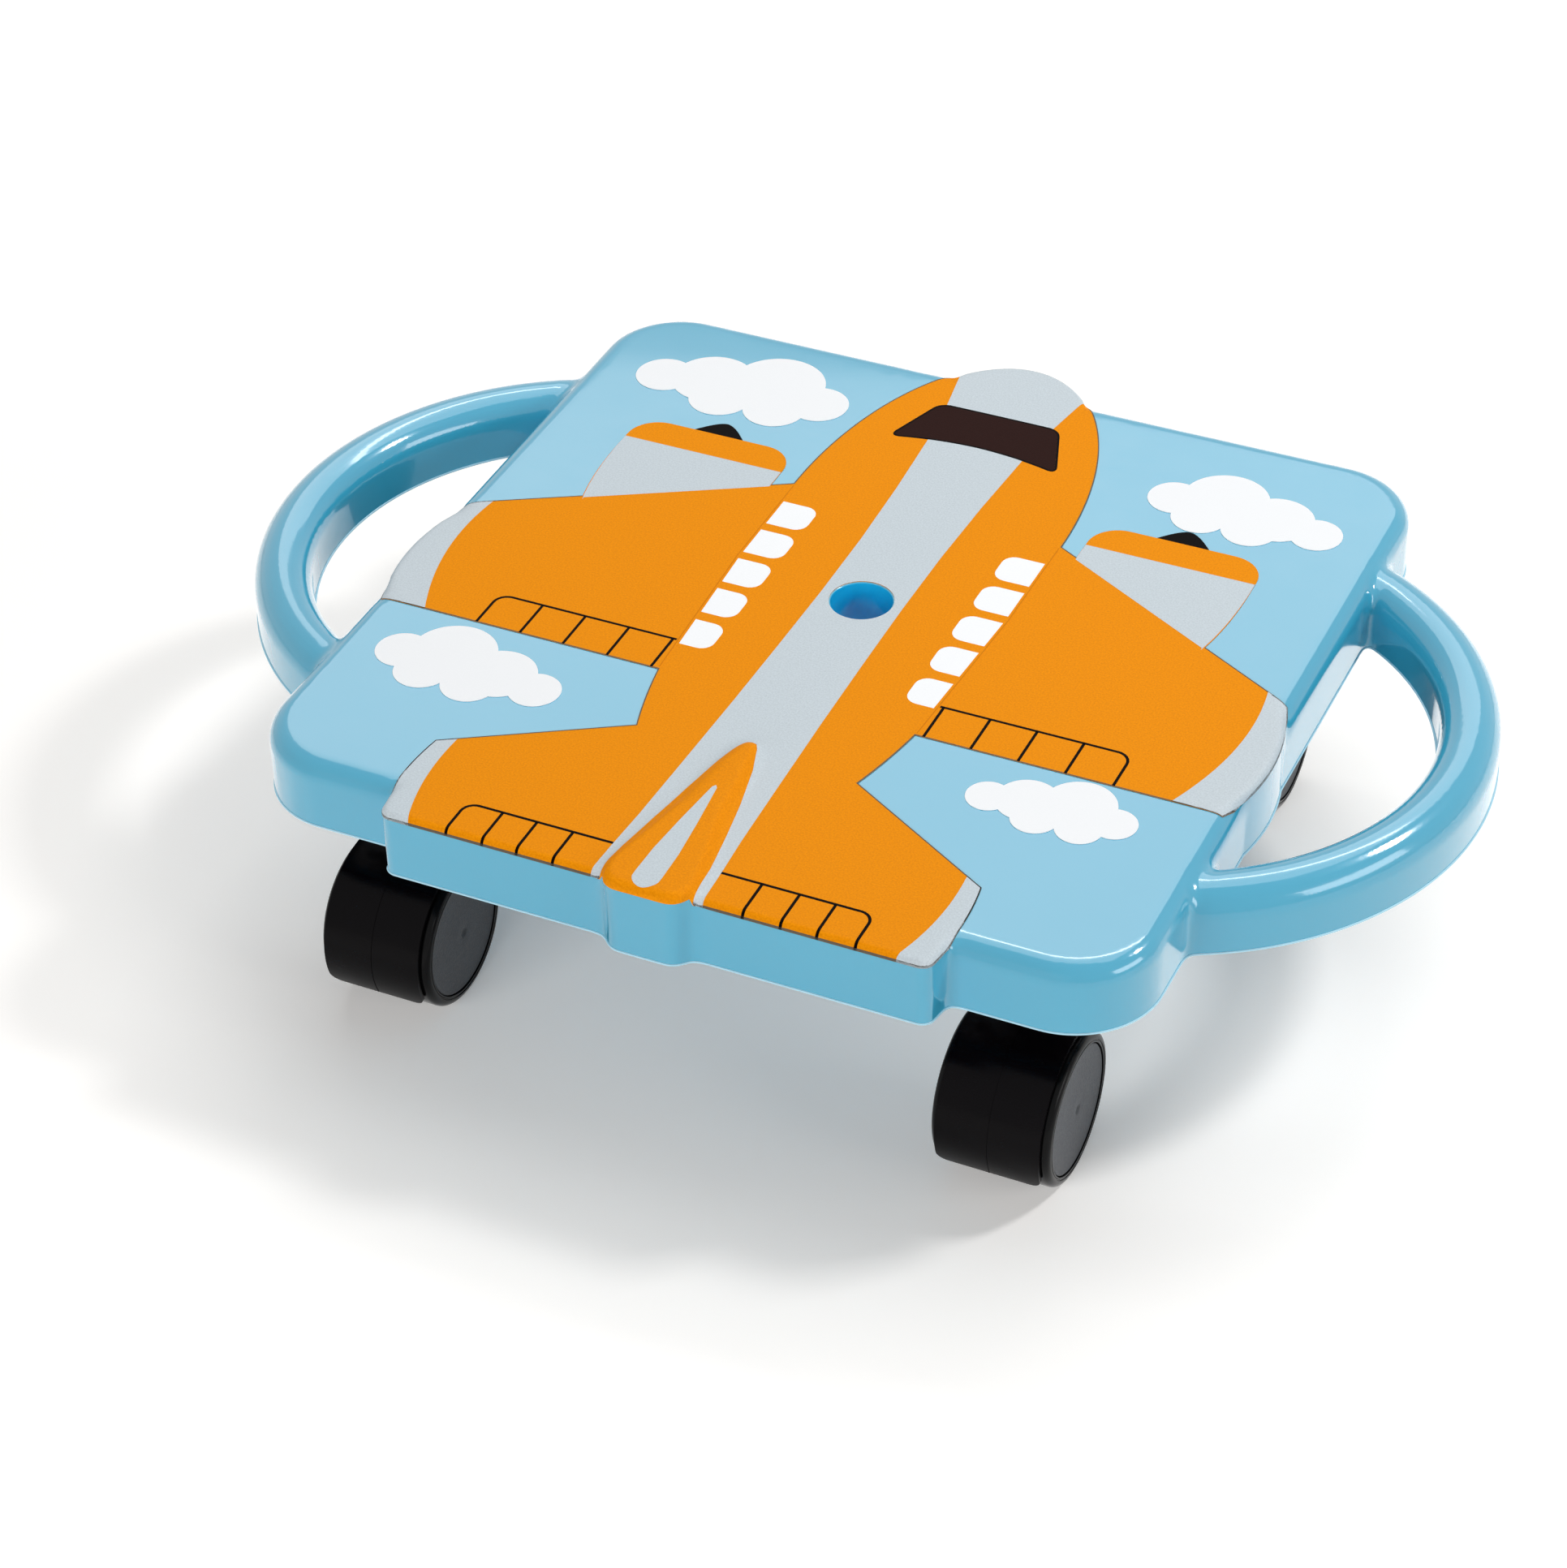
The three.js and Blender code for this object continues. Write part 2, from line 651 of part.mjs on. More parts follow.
// Both wheels of a caster are alike: a rim and a hub on one disc, open on the inner side.
function wheel(side) {
  const face = wheelWidth;
  const bore = axleRadius + runningGap;
  const rimInside = wheelRadius - wheelRimThickness;
  const seatRadius = capRadius + capGap;
  const seatFloor = face - capThickness - capSunk;
  const profile = [
    [0, wheelBoreDepth], [bore, wheelBoreDepth], [bore, 0], [wheelHubRadius, 0],
    [wheelHubRadius, wheelHollowDepth], [rimInside, wheelHollowDepth], [rimInside, 0],
    [wheelRadius - wheelChamfer, 0], [wheelRadius, wheelChamfer], [wheelRadius, face - wheelShoulder],
    [wheelRadius - wheelShoulder, face],
    [seatRadius, face], [seatRadius, seatFloor], [0, seatFloor],
  ];
  return onSide(profile, side, wheelSides);
}

function wheelCap(side) {
  const top = wheelWidth - capSunk;
  const bottom = top - capThickness;
  const profile = [[0, bottom], [capRadius, bottom], [capRadius, top], [0, top]];
  return onSide(profile, side, wheelSides);
}

// A body turned about the axle, its zero height at the inner face of the wheel on that side.
function onSide(profile, side, sides) {
  const shifted = profile.map(([radius, height]) => [radius, side * (height + wheelInnerFace)]);
  return alongAxle(turned(shifted, sides));
}

const board = new THREE.Group();

function put(group, name, shape, material, x = 0, y = 0) {
  const solid = shape instanceof THREE.BufferGeometry ? solidOf(shape) : shape;
  const mesh = new THREE.Mesh(geometryOf(solid), material);
  mesh.name = name;
  mesh.position.set(x, y, 0);
  group.add(mesh);
}

put(board, 'deck_shell', deckShell(), skyBlue);
put(board, 'airplane_film', airplaneFilm(), orangePrint);
for (const share of cloudShares) put(board, `cloud_film_${share.name}`, cloudFilm(share), whitePrint);

for (const { name, x, y } of casters) {
  const caster = new THREE.Group();
  caster.position.set(x, y, 0);
  put(caster, `caster_plate_${name}`, casterPlate(), zincSteel);
  put(caster, `kingpin_${name}`, kingpin(), zincSteel);
  put(caster, `thrust_washer_${name}`, washer(), whiteNylon);
  screwPlaces.forEach(([sx, sy], i) => put(caster, `screw_${name}_${i + 1}`, screw(), zincSteel, sx, sy));
  put(caster, `hood_${name}`, hood(), blackNylon);
  put(caster, `axle_${name}`, axle(), zincSteel);
  for (const [word, side] of [['left', -1], ['right', 1]]) {
    put(caster, `wheel_${name}_${word}`, wheel(side), greyTread);
    put(caster, `wheel_cap_${name}_${word}`, wheelCap(side), greyCap);
  }
  board.add(caster);
}

// The frame's origin is on the floor, midway between the nose and the fin.
board.position.y = (finReach - noseReach) / 2;

const scooterBoard = new THREE.Group();
scooterBoard.add(board);

export default scooterBoard;
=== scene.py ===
# %% [markdown]
# # A scooter board
# A scooter board is a low platform on four swivelling casters. A rider sits or kneels on it, holds the
# ring handles, and pushes off with hands or feet. The deck is one injection moulding with an airplane
# standing proud of its edges. The airplane and some clouds are printed on top.
# This lesson dresses a CAD frame of the board: each cell makes one piece or one finish.

# %% Load the frame
import math
import bpy
import bmesh
import numpy as np
from mathutils import Matrix, Vector
from mathutils.kdtree import KDTree


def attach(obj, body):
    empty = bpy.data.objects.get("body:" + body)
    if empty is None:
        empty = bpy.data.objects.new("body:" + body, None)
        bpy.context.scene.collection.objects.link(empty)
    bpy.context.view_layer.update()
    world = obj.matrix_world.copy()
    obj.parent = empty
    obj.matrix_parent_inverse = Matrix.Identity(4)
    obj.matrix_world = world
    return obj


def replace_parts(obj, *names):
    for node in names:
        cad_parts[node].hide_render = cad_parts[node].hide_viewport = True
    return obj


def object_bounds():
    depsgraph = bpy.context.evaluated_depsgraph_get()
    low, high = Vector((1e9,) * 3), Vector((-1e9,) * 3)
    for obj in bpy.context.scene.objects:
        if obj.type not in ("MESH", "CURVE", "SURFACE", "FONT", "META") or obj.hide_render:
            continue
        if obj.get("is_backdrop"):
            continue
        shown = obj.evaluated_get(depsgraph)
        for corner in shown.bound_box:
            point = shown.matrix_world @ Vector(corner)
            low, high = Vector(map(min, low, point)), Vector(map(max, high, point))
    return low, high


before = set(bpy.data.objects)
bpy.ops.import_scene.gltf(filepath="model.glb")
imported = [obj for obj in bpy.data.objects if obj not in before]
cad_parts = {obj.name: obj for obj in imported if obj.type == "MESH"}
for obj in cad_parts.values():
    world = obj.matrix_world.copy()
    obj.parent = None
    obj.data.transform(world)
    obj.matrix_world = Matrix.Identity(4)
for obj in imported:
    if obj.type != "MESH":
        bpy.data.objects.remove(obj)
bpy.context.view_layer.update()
MM = 0.001

# %% [markdown]
# ## The camera
# The camera stands where the photographer stood: to the right of the tail, looking down at the deck.
# A long lens keeps the near and far edges almost parallel. Its place and turn are written as a matrix
# whose columns are the camera's right, up and backward directions.

# %% Camera
def camera_matrix(place, azimuth, elevation, roll):
    """The turn and place of a camera that looks down at the object from an angle, in degrees."""
    a, e, r = (math.radians(angle) for angle in (azimuth, elevation, roll))
    back = Vector((math.sin(a) * math.cos(e), -math.cos(a) * math.cos(e), math.sin(e)))
    right = Vector((math.cos(a), math.sin(a), 0))
    up = right.cross(-back)
    right, up = right * math.cos(r) + up * math.sin(r), up * math.cos(r) - right * math.sin(r)
    turn = Matrix((right, up, back)).transposed().to_4x4()
    return Matrix.Translation(place) @ turn


bpy.ops.object.camera_add()
camera = bpy.context.object
camera.name = "studio_camera"
camera.matrix_world = camera_matrix((0.42714, -0.95952, 0.84478), azimuth=25.359, elevation=37.836,
                                     roll=-1.306)
camera.data.lens = 92.11
camera.data.sensor_width = 36
camera.data.shift_x = 0.0018
camera.data.dof.use_dof = False
bpy.context.scene.camera = camera
print("camera", camera.location[:])

# %% [markdown]
# ## Helpers for working by hand
# An operator acts on everything that is selected. So each step deselects everything first, and then
# selects its own object, points, edges or faces by their place.

# %% Selecting and finishing
def only(*objects):
    """Selects just these objects, the last one active."""
    if bpy.context.object and bpy.context.object.mode != "OBJECT":
        bpy.ops.object.mode_set(mode="OBJECT")
    bpy.ops.object.select_all(action="DESELECT")
    for piece in objects:
        piece.select_set(True)
    bpy.context.view_layer.objects.active = objects[-1]


def edit(piece, mode="FACE", everything=True):
    """Opens an object in edit mode with all or none of it selected."""
    only(piece)
    bpy.ops.object.mode_set(mode="EDIT")
    bpy.ops.mesh.select_mode(type=mode)
    bpy.ops.mesh.select_all(action="SELECT" if everything else "DESELECT")


def done():
    bpy.ops.object.mode_set(mode="OBJECT")


def points_of(piece):
    """The places of an object's points, as rows of x, y and z."""
    places = np.empty(len(piece.data.vertices) * 3)
    piece.data.vertices.foreach_get("co", places)
    return places.reshape(-1, 3)


def pick_points(piece, chosen):
    """Opens an object in edit mode with the points of a true-or-false list selected."""
    edit(piece, "VERT", everything=False)
    done()
    piece.data.vertices.foreach_set("select", np.asarray(chosen, dtype=bool))
    bpy.ops.object.mode_set(mode="EDIT")


def pick_edges(piece, test):
    """Opens an object in edit mode with the edges selected whose two ends pass a test."""
    places = points_of(piece)
    edit(piece, "EDGE", everything=False)
    done()
    for edge in piece.data.edges:
        a, b = (places[i] for i in edge.vertices)
        edge.select = bool(test(a, b))
    bpy.ops.object.mode_set(mode="EDIT")


def pick_faces(piece, test):
    """Opens an object in edit mode with the faces selected whose middle and normal pass a test."""
    edit(piece, "FACE", everything=False)
    done()
    for face in piece.data.polygons:
        face.select = bool(test(face.center, face.normal))
    bpy.ops.object.mode_set(mode="EDIT")


def use(piece, kind, **settings):
    """Adds a modifier with these settings and applies it."""
    only(piece)
    bpy.ops.object.modifier_add(type=kind)
    modifier = piece.modifiers[-1]
    for name, value in settings.items():
        setattr(modifier, name, value)
    bpy.ops.object.modifier_apply(modifier=modifier.name)
    return piece


def boolean(piece, tool, how, solver="MANIFOLD"):
    """Cuts, adds or keeps the common part with a tool, which is then thrown away."""
    use(piece, "BOOLEAN", operation=how, object=tool, solver=solver)
    bpy.data.objects.remove(tool)
    return piece


def cut(piece, tool):
    return boolean(piece, tool, "DIFFERENCE")


def copy_of(piece, name):
    """A copy with its own mesh and no parent."""
    only(piece)
    bpy.ops.object.duplicate(linked=False)
    copy = bpy.context.object
    copy.name = copy.data.name = name
    copy.parent = None
    return copy


def join(name, pieces):
    only(*pieces)
    if len(pieces) > 1:
        bpy.ops.object.join()
    joined = bpy.context.object
    joined.name = joined.data.name = name
    return joined


def settle(piece, angle=30):
    """Puts the origin at the world's zero and shades the piece smooth up to an angle."""
    only(piece)
    bpy.ops.object.transform_apply(location=True, rotation=True, scale=True)
    bpy.ops.object.shade_smooth_by_angle(angle=math.radians(angle))
    return piece


# %% [markdown]
# ## Tracing an outline
# The deck, the airplane and every printed colour are flat outlines first. An outline is traced the way
# it is done by hand: one point is extruded along the line from corner to corner, and the loop is filled
# and extruded upwards. Curved stretches are short straight steps.

# %% Lines and curves
BOARD_SHIFT = 5.6  # the rope hole's middle lies this far in front of the frame's origin


def arc(x, y, radius, start, end, steps=12):
    angles = np.radians(np.linspace(start, end, steps + 1))
    return [(x + radius * math.cos(a), y + radius * math.sin(a)) for a in angles]


def bow(start, pull, end, steps=14):
    """A curve from one point to another, drawn towards a third."""
    ways = np.linspace(0, 1, steps + 1)
    return [tuple((1 - t) ** 2 * np.array(start) + 2 * t * (1 - t) * np.array(pull)
                  + t ** 2 * np.array(end)) for t in ways]


def bezier(a, b, c, d, steps=10):
    ways = np.linspace(0, 1, steps + 1)
    a, b, c, d = (np.array(p) for p in (a, b, c, d))
    return [tuple((1 - t) ** 3 * a + 3 * t * (1 - t) ** 2 * b + 3 * t * t * (1 - t) * c + t ** 3 * d)
            for t in ways]


def mirrored(right_half):
    """A closed outline from its right half, which starts and ends on the middle line."""
    return right_half + [(-x, y) for x, y in reversed(right_half)]


def rounded_box(left, right, rear, front, radius, steps):
    return (arc(right - radius, rear + radius, radius, -90, 0, steps)
            + arc(right - radius, front - radius, radius, 0, 90, steps)
            + arc(left + radius, front - radius, radius, 90, 180, steps)
            + arc(left + radius, rear + radius, radius, 180, 270, steps))


def traced(name, places):
    """One point drawn out through a list of places, left open in edit mode with all of it selected."""
    bpy.ops.mesh.primitive_plane_add(size=MM, location=places[0])
    piece = bpy.context.object
    piece.name = piece.data.name = name
    bpy.ops.object.transform_apply(location=True)
    edit(piece, "VERT")
    bpy.ops.mesh.merge(type="CENTER")
    for a, b in zip(places, places[1:]):
        bpy.ops.mesh.extrude_vertices_move(TRANSFORM_OT_translate={"value": b - a})
    bpy.ops.mesh.select_all(action="SELECT")
    return piece


def closed_up(piece):
    """Turns every face outwards and leaves edit mode."""
    bpy.ops.mesh.select_all(action="SELECT")
    bpy.ops.mesh.normals_make_consistent(inside=False)
    done()
    return piece


def slab(name, outline, bottom, top, shift=BOARD_SHIFT):
    """An upright block over an outline given in millimetres from the rope hole's middle."""
    places = [Vector((x * MM, (y + shift) * MM, bottom * MM)) for x, y in outline]
    places = [p for i, p in enumerate(places) if (p - places[i - 1]).length > 2e-5]
    piece = traced(name, places)
    bpy.ops.mesh.edge_face_add()
    bpy.ops.mesh.extrude_region_move(TRANSFORM_OT_translate={"value": (0, 0, (top - bottom) * MM)})
    return closed_up(piece)


def round_top(piece, top, radius, steps):
    """Rounds the edges that lie in a block's top face."""
    pick_edges(piece, lambda a, b: min(a[2], b[2]) > (top - 0.01) * MM)
    bpy.ops.mesh.bevel(offset=radius * MM, segments=steps, profile=0.5, affect="EDGES")
    done()
    return piece


# %% [markdown]
# ## The deck's outer form
# The real deck is cast in one shot, so the airplane, the fin and the ring handles flow out of it with
# no seam. Simple crisp solids are made first: the deck with its big rounded edge, the airplane with a
# small one, the fin and the handles. They are added together here and their joints are melted later.

# %% Deck and airplane
DECK_TOP = 99.2
FOOT = 75.2
ROUGH_FOOT = 70  # the crisp solids reach this low and are cut off level at the foot later
DECK_HALF, DECK_REAR, DECK_FRONT, DECK_CORNER = 147.2, -146, 139, 28
DECK_EDGE, AIRPLANE_EDGE = 6.5, 2.2
deck_outline = rounded_box(-DECK_HALF, DECK_HALF, DECK_REAR, DECK_FRONT, DECK_CORNER, 24)
deck = slab("deck", deck_outline, ROUGH_FOOT, DECK_TOP)
round_top(deck, DECK_TOP, DECK_EDGE, 10)
FUSELAGE_HALF, NOSE_START, NOSE_LENGTH = 47.7, 53, 98.6
WING_HALF, WING_SWEEP, WING_REAR = 143.6, 0.5535, -58.8


def airplane_outline():
    nose = [(FUSELAGE_HALF * math.sin(a), NOSE_START + NOSE_LENGTH * math.cos(a))
            for a in np.linspace(0, math.pi / 2, 40)]
    tip_front = NOSE_START - (WING_HALF - FUSELAGE_HALF) * WING_SWEEP
    wing = bow((WING_HALF, tip_front), (154.8, (tip_front + WING_REAR) / 2), (WING_HALF, WING_REAR), 18)
    waist = bow((43.6, WING_REAR), (41.35, -73.65), (36.9, -88.5), 8)
    tail = bow((90.4, -120), (93.2, -136.8), (90.4, -153.6), 10) + arc(86.4, -153.6, 4, 0, -90, 6)
    return mirrored(nose + wing + waist + tail + [(0, -157.6)])


airplane = slab("airplane", airplane_outline(), ROUGH_FOOT, DECK_TOP)
round_top(airplane, DECK_TOP, AIRPLANE_EDGE, 6)
print("deck", len(deck.data.polygons), "airplane", len(airplane.data.polygons))

# %% [markdown]
# ## The fin
# The tail fin is a low ridge that runs from a point on the tail to a blunt end, which hangs a little
# over the rear wall. Its top edge is rounded over.

# %% Fin
FIN_TOP, FIN_EDGE = 102.05, 2.7


def fin_side(grow=0.0):
    tip = bow((0, -83 + grow), (4.93, -83 + grow), (7.4 + grow, -117.5), 12)
    end = -162.75 - grow
    blunt = bezier((14.8 + grow, -152), (14.8 + grow, -157.6), (13.32 + grow, end), (7.4, end), 12)
    return tip + blunt + [(0, end)]


fin = slab("fin", mirrored(fin_side()), ROUGH_FOOT, FIN_TOP)
round_top(fin, FIN_TOP, FIN_EDGE, 6)
print("fin", len(fin.data.polygons))

# %% [markdown]
# ## The ring handles
# Each handle is part of a ring with a round top. Its section, a half circle on two straight sides, is
# spun about the ring's upright axis. A spin keeps the section true all the way round.

# %% Handles
HANDLE_X, HANDLE_Y, HANDLE_TOP = 104, -1.6, 96.8
RING_MIDDLE, RING_HALF = 95.8, 10


def ring(name, side, inward, bottom, top, start, end, steps):
    """Part of a ring: its section spun from one angle to another, in degrees from straight out."""
    half = RING_HALF - inward
    section = [(-half, bottom), (half, bottom)] + arc(0, top - half, half, 0, 180, 20)
    middle = Vector((side * HANDLE_X * MM, (HANDLE_Y + BOARD_SHIFT) * MM, 0))
    angle = math.radians(start)
    out = Vector((side * math.cos(angle), math.sin(angle), 0))
    places = [middle + out * (RING_MIDDLE + x) * MM + Vector((0, 0, z * MM)) for x, z in section]
    piece = traced(name, places)
    bpy.ops.mesh.edge_face_add()
    bpy.ops.mesh.spin(steps=steps, angle=-side * math.radians(end - start), center=middle, axis=(0, 0, 1))
    bpy.ops.mesh.select_all(action="SELECT")
    bpy.ops.mesh.remove_doubles(threshold=1e-6)
    return closed_up(piece)


handles = [ring("handle", side, 0.5, ROUGH_FOOT, HANDLE_TOP, -72, 72, 96) for side in (-1, 1)]
for handle in handles:
    low, high = points_of(handle).min(0), points_of(handle).max(0)
    print("handle", low.round(4), high.round(4))

# %% [markdown]
# ## Melting the joints
# The crisp solids are added into one. A copy of the sum is rebuilt as a fine even skin, one millimetre
# a face, and only the points near an inward corner are smoothed, so that fillets grow there as they do
# in a mould. All other points are pulled back onto the crisp form, which keeps its highlights clean.

# %% Crisp sum
crisp = deck
for part in [airplane, fin] + handles:
    boolean(crisp, part, "UNION", "EXACT")
crisp.name = "crisp"
edit(crisp)
bpy.ops.mesh.remove_doubles(threshold=1e-6)
done()
print("crisp", len(crisp.data.vertices), points_of(crisp).min(0), points_of(crisp).max(0))

# %% Where the solids meet
def inward_corners(piece, least=20):
    """Points along every edge where two faces fold inwards, half a millimetre apart."""
    shape = bmesh.new()
    shape.from_mesh(piece.data)
    places = []
    for edge in shape.edges:
        if len(edge.link_faces) != 2 or edge.is_convex:
            continue
        if edge.calc_face_angle(0) < math.radians(least):
            continue
        a, b = edge.verts[0].co, edge.verts[1].co
        count = max(2, int((b - a).length / (0.5 * MM)))
        places += [a.lerp(b, i / count) for i in range(count + 1)]
    shape.free()
    return places


def nearness(piece, places):
    """How far each point of a piece lies from the nearest of some places, in millimetres."""
    tree = KDTree(len(places))
    for i, place in enumerate(places):
        tree.insert(place, i)
    tree.balance()
    return np.array([tree.find(p)[2] for p in points_of(piece)]) / MM


FIN_REACH, FIN_START = 15.5, -70


def is_on_fin(place):
    return abs(place.x) < FIN_REACH * MM and place.y < FIN_START * MM


corners = [p for p in inward_corners(crisp) if p.z > (ROUGH_FOOT + 1) * MM]
on_fin = [p for p in corners if is_on_fin(p)]
elsewhere = [p for p in corners if not is_on_fin(p)]
print("inward corners", len(elsewhere), "and on the fin", len(on_fin))

# %% Remesh, pull back and smooth the corners
body = copy_of(crisp, "deck_moulding")
VOXEL = 1.0
use(body, "REMESH", mode="VOXEL", voxel_size=VOXEL * MM, adaptivity=0)
near = nearness(body, elsewhere)
near_fin = nearness(body, on_fin)
# the fillets are wide low on the walls and narrow near the top face
high = np.clip((points_of(body)[:, 2] / MM - 94) / 4, 0, 1)
reach, fin_reach = 4.6 - 2.4 * high, 5.4 - 3.6 * high
away = (near > reach) & (near_fin > fin_reach)
pick_points(body, away)
bpy.ops.object.vertex_group_add()
bpy.ops.object.vertex_group_assign()
done()
use(body, "SHRINKWRAP", target=crisp, wrap_method="NEAREST_SURFACEPOINT",
    vertex_group=body.vertex_groups[0].name)
for wider, repeats in ((1.0, 14), (1.35, 6), (1.8, 3)):
    pick_points(body, (near < reach * wider) | (near_fin < fin_reach * wider))
    bpy.ops.mesh.vertices_smooth(factor=0.5, repeat=repeats)
    done()
print("remeshed", len(body.data.vertices))

# %% Fewer faces where it is flat
KEPT_SHARE = 0.2
use(body, "DECIMATE", decimate_type="COLLAPSE", ratio=KEPT_SHARE, use_collapse_triangulate=True)
bpy.data.objects.remove(crisp)
print("moulding", len(body.data.polygons), points_of(body).min(0), points_of(body).max(0))

# %% [markdown]
# ## The printed film
# The print is a thin film that was laid in the mould, so it follows the surface and wraps round the
# airplane's edges. A copy of the deck's upper faces is given a thickness twice: once for the orange
# film itself and once, lying on it, for the other inks. Each colour is then what this skin and an
# upright block over the colour's outline have in common, which keeps every edge crisp at any size.

# %% Skins
def skin(name, lift, thickness):
    """The deck's upper faces as a thin closed sheet that floats a little above them."""
    sheet = copy_of(body, name)
    edit(sheet)
    bpy.ops.mesh.bisect(plane_co=(0, 0, (DECK_TOP - 2.3) * MM), plane_no=(0, 0, -1), clear_outer=True)
    done()
    if lift:
        use(sheet, "DISPLACE", strength=lift * MM, mid_level=0)
    return use(sheet, "SOLIDIFY", thickness=thickness * MM, offset=1)


FILM, INK = 0.2, 0.05
film_skin = skin("film_skin", 0, FILM)
ink_skin = skin("ink_skin", FILM, INK)
print("skins", len(film_skin.data.polygons), len(ink_skin.data.polygons))


# %% Colour blocks
def inset(outline, distance):
    """An outline moved inwards, or outwards with a negative distance, with mitred corners."""
    points = [np.array(p) for i, p in enumerate(outline)
              if np.hypot(*(np.array(p) - np.array(outline[i - 1]))) > 0.02]
    area = sum(a[0] * b[1] - b[0] * a[1] for a, b in zip(points, points[1:] + points[:1]))
    inward = distance if area > 0 else -distance
    moved = []
    for i, point in enumerate(points):
        before, after = point - points[i - 1], points[(i + 1) % len(points)] - point
        n1, n2 = (np.array((-d[1], d[0])) / np.hypot(*d) for d in (before, after))
        moved.append(tuple(point + (n1 + n2) * inward / (1 + n1 @ n2)))
    return moved


def column(name, outline):
    """An upright block that reaches through the whole deck top."""
    return slab(name, outline, DECK_TOP - 6, DECK_TOP + 8)


def printed(name, sheet, *blocks):
    """The part of a skin that lies inside every one of some upright blocks."""
    film = copy_of(sheet, name)
    for block in blocks:
        boolean(film, block, "INTERSECT")
    return film


def both_sides(outline):
    """An outline on the right and its mirror image on the left."""
    return [outline, [(-x, y) for x, y in outline]]


ENGINE_X, ENGINE_HALF, ENGINE_FRONT, ENGINE_CORNER = 84, 29.2, 70.4, 11


def spinner_outline():
    """The round cap that stands out in front of an engine."""
    tip = (ENGINE_X, 77.6)
    return bow((75, ENGINE_FRONT), (81, 77.6), tip, 8) + bow(tip, (87, 77.6), (93, ENGINE_FRONT), 8)[1:]


def engine_outline():
    left, right, r = ENGINE_X - ENGINE_HALF, ENGINE_X + ENGINE_HALF, ENGINE_CORNER
    return ([(left, 0)] + arc(left + r, ENGINE_FRONT - r, r, 180, 90, 10) + spinner_outline()
            + arc(right - r, ENGINE_FRONT - r, r, 90, 0, 10)
            + bow((right, 57.6), (113.8, 34), (109.6, 17), 10) + [(105, 0)])


FILM_OVERHANG = 0.35
AIRPLANE = inset(airplane_outline(), -FILM_OVERHANG)
ROPE_FILM_HOLE = 10.65


def whole_print():
    block = column("print_block", AIRPLANE)
    for outline in both_sides(engine_outline()):
        boolean(block, column("engine_block", outline), "UNION")
    fin_end = slab("fin_block", mirrored(fin_side(FILM_OVERHANG)), DECK_TOP - 0.1, DECK_TOP + 8)
    boolean(block, fin_end, "UNION")
    return cut(block, hole_block())


def hole_block():
    return column("hole_block", arc(0, 0, ROPE_FILM_HOLE, 0, 360, 64)[:-1])


film = printed("airplane_print", film_skin, whole_print())
print("film", len(film.data.polygons), points_of(film).min(0), points_of(film).max(0))

# %% [markdown]
# ## Greys
# A pale grey runs along the fuselage and covers the nose, the engines and the tips of wings and tail.

# %% Grey ink
def windscreen_outline(grow=0.0):
    right = (bow((0, 118), (12, 118), (18.4, 117.9), 6) + bow((18.4, 117.9), (21.8, 117.4), (22.9, 114.4), 5)
             + bow((29.1, 96.4), (29.9, 93.6), (27.2, 94), 5) + bow((27.2, 94), (14, 97.4), (0, 97.6), 8))
    return inset(mirrored(right), -grow)


def grey_blocks():
    stripe = [(0, 158), (42, 158), (25.5, 141), (23, 139), (19.5, 117.6), (17.2, 96), (15.3, 64),
              (14.2, 32), (14, 0), (14.4, -32), (15, -64), (15.9, -96), (16.9, -128), (17.8, -144),
              (18.4, -160), (0, -160)]
    middle = column("grey_stripe", mirrored(stripe))
    cut(middle, column("fin_block", mirrored(fin_print())))
    cut(middle, column("windscreen", windscreen_outline(0.5)))
    cut(middle, hole_block())
    wing = bow((135.8, 6), (142, -26.3), (127, -60.5), 16) + [(152, -60.5), (152, 6)]
    tail = bow((84.6, -114), (87.3, -138.6), (78.8, -160.5), 14) + [(95, -160.5), (95, -114)]
    engine = ([(54.9, 57.6), (113.2, 57.6)] + bow((113.2, 57.6), (113.5, 34), (109.3, 17), 10)
              + [(109.3, 18.2), (54.9, 48.4)])
    tips = [outline for shape in (wing, tail) for outline in both_sides(shape)]
    return [middle] + [column("grey_tip", o) for o in tips], both_sides(engine)


def fin_print():
    return [(0, -83.4), (1.6, -83.8), (3, -86.5), (6, -96), (9.3, -112), (12, -128), (14.4, -144),
            (15.2, -154), (15.6, -170), (0, -170)]


greys = []
columns, engines = grey_blocks()
for block in columns:
    greys.append(printed("grey", ink_skin, block, column("airplane_block", inset(AIRPLANE, 0.02))))
for outline in engines:
    greys.append(printed("grey", ink_skin, column("engine_body", outline)))
stripe_on_fin = mirrored([(0, -109.4), (0.8, -110.5), (2.7, -128), (4.1, -144), (4.4, -156)]
                         + arc(0, -157.2, 4.4, 0, -90, 8)[1:])
greys.append(printed("grey", ink_skin, column("fin_stripe", stripe_on_fin)))
grey = join("grey_ink", greys)
print("grey", len(grey.data.polygons))

# %% [markdown]
# ## Windows, windscreen and panel lines
# Five windows a side follow the edge of the fuselage, so the corners next to the wing are sharp and
# the inner ones are round. The flaps on wings and tail are drawn with lines less than a millimetre wide.
# A hairline of darker orange where the fuselage meets the wing is painted shade along the crease there,
# and a brownish grey line runs round the film's edge.

# %% Windows
def fuselage_edge(y):
    """How far the fuselage's side is from its middle line at a place along it."""
    return FUSELAGE_HALF - max(0, 8 - y) * 0.055


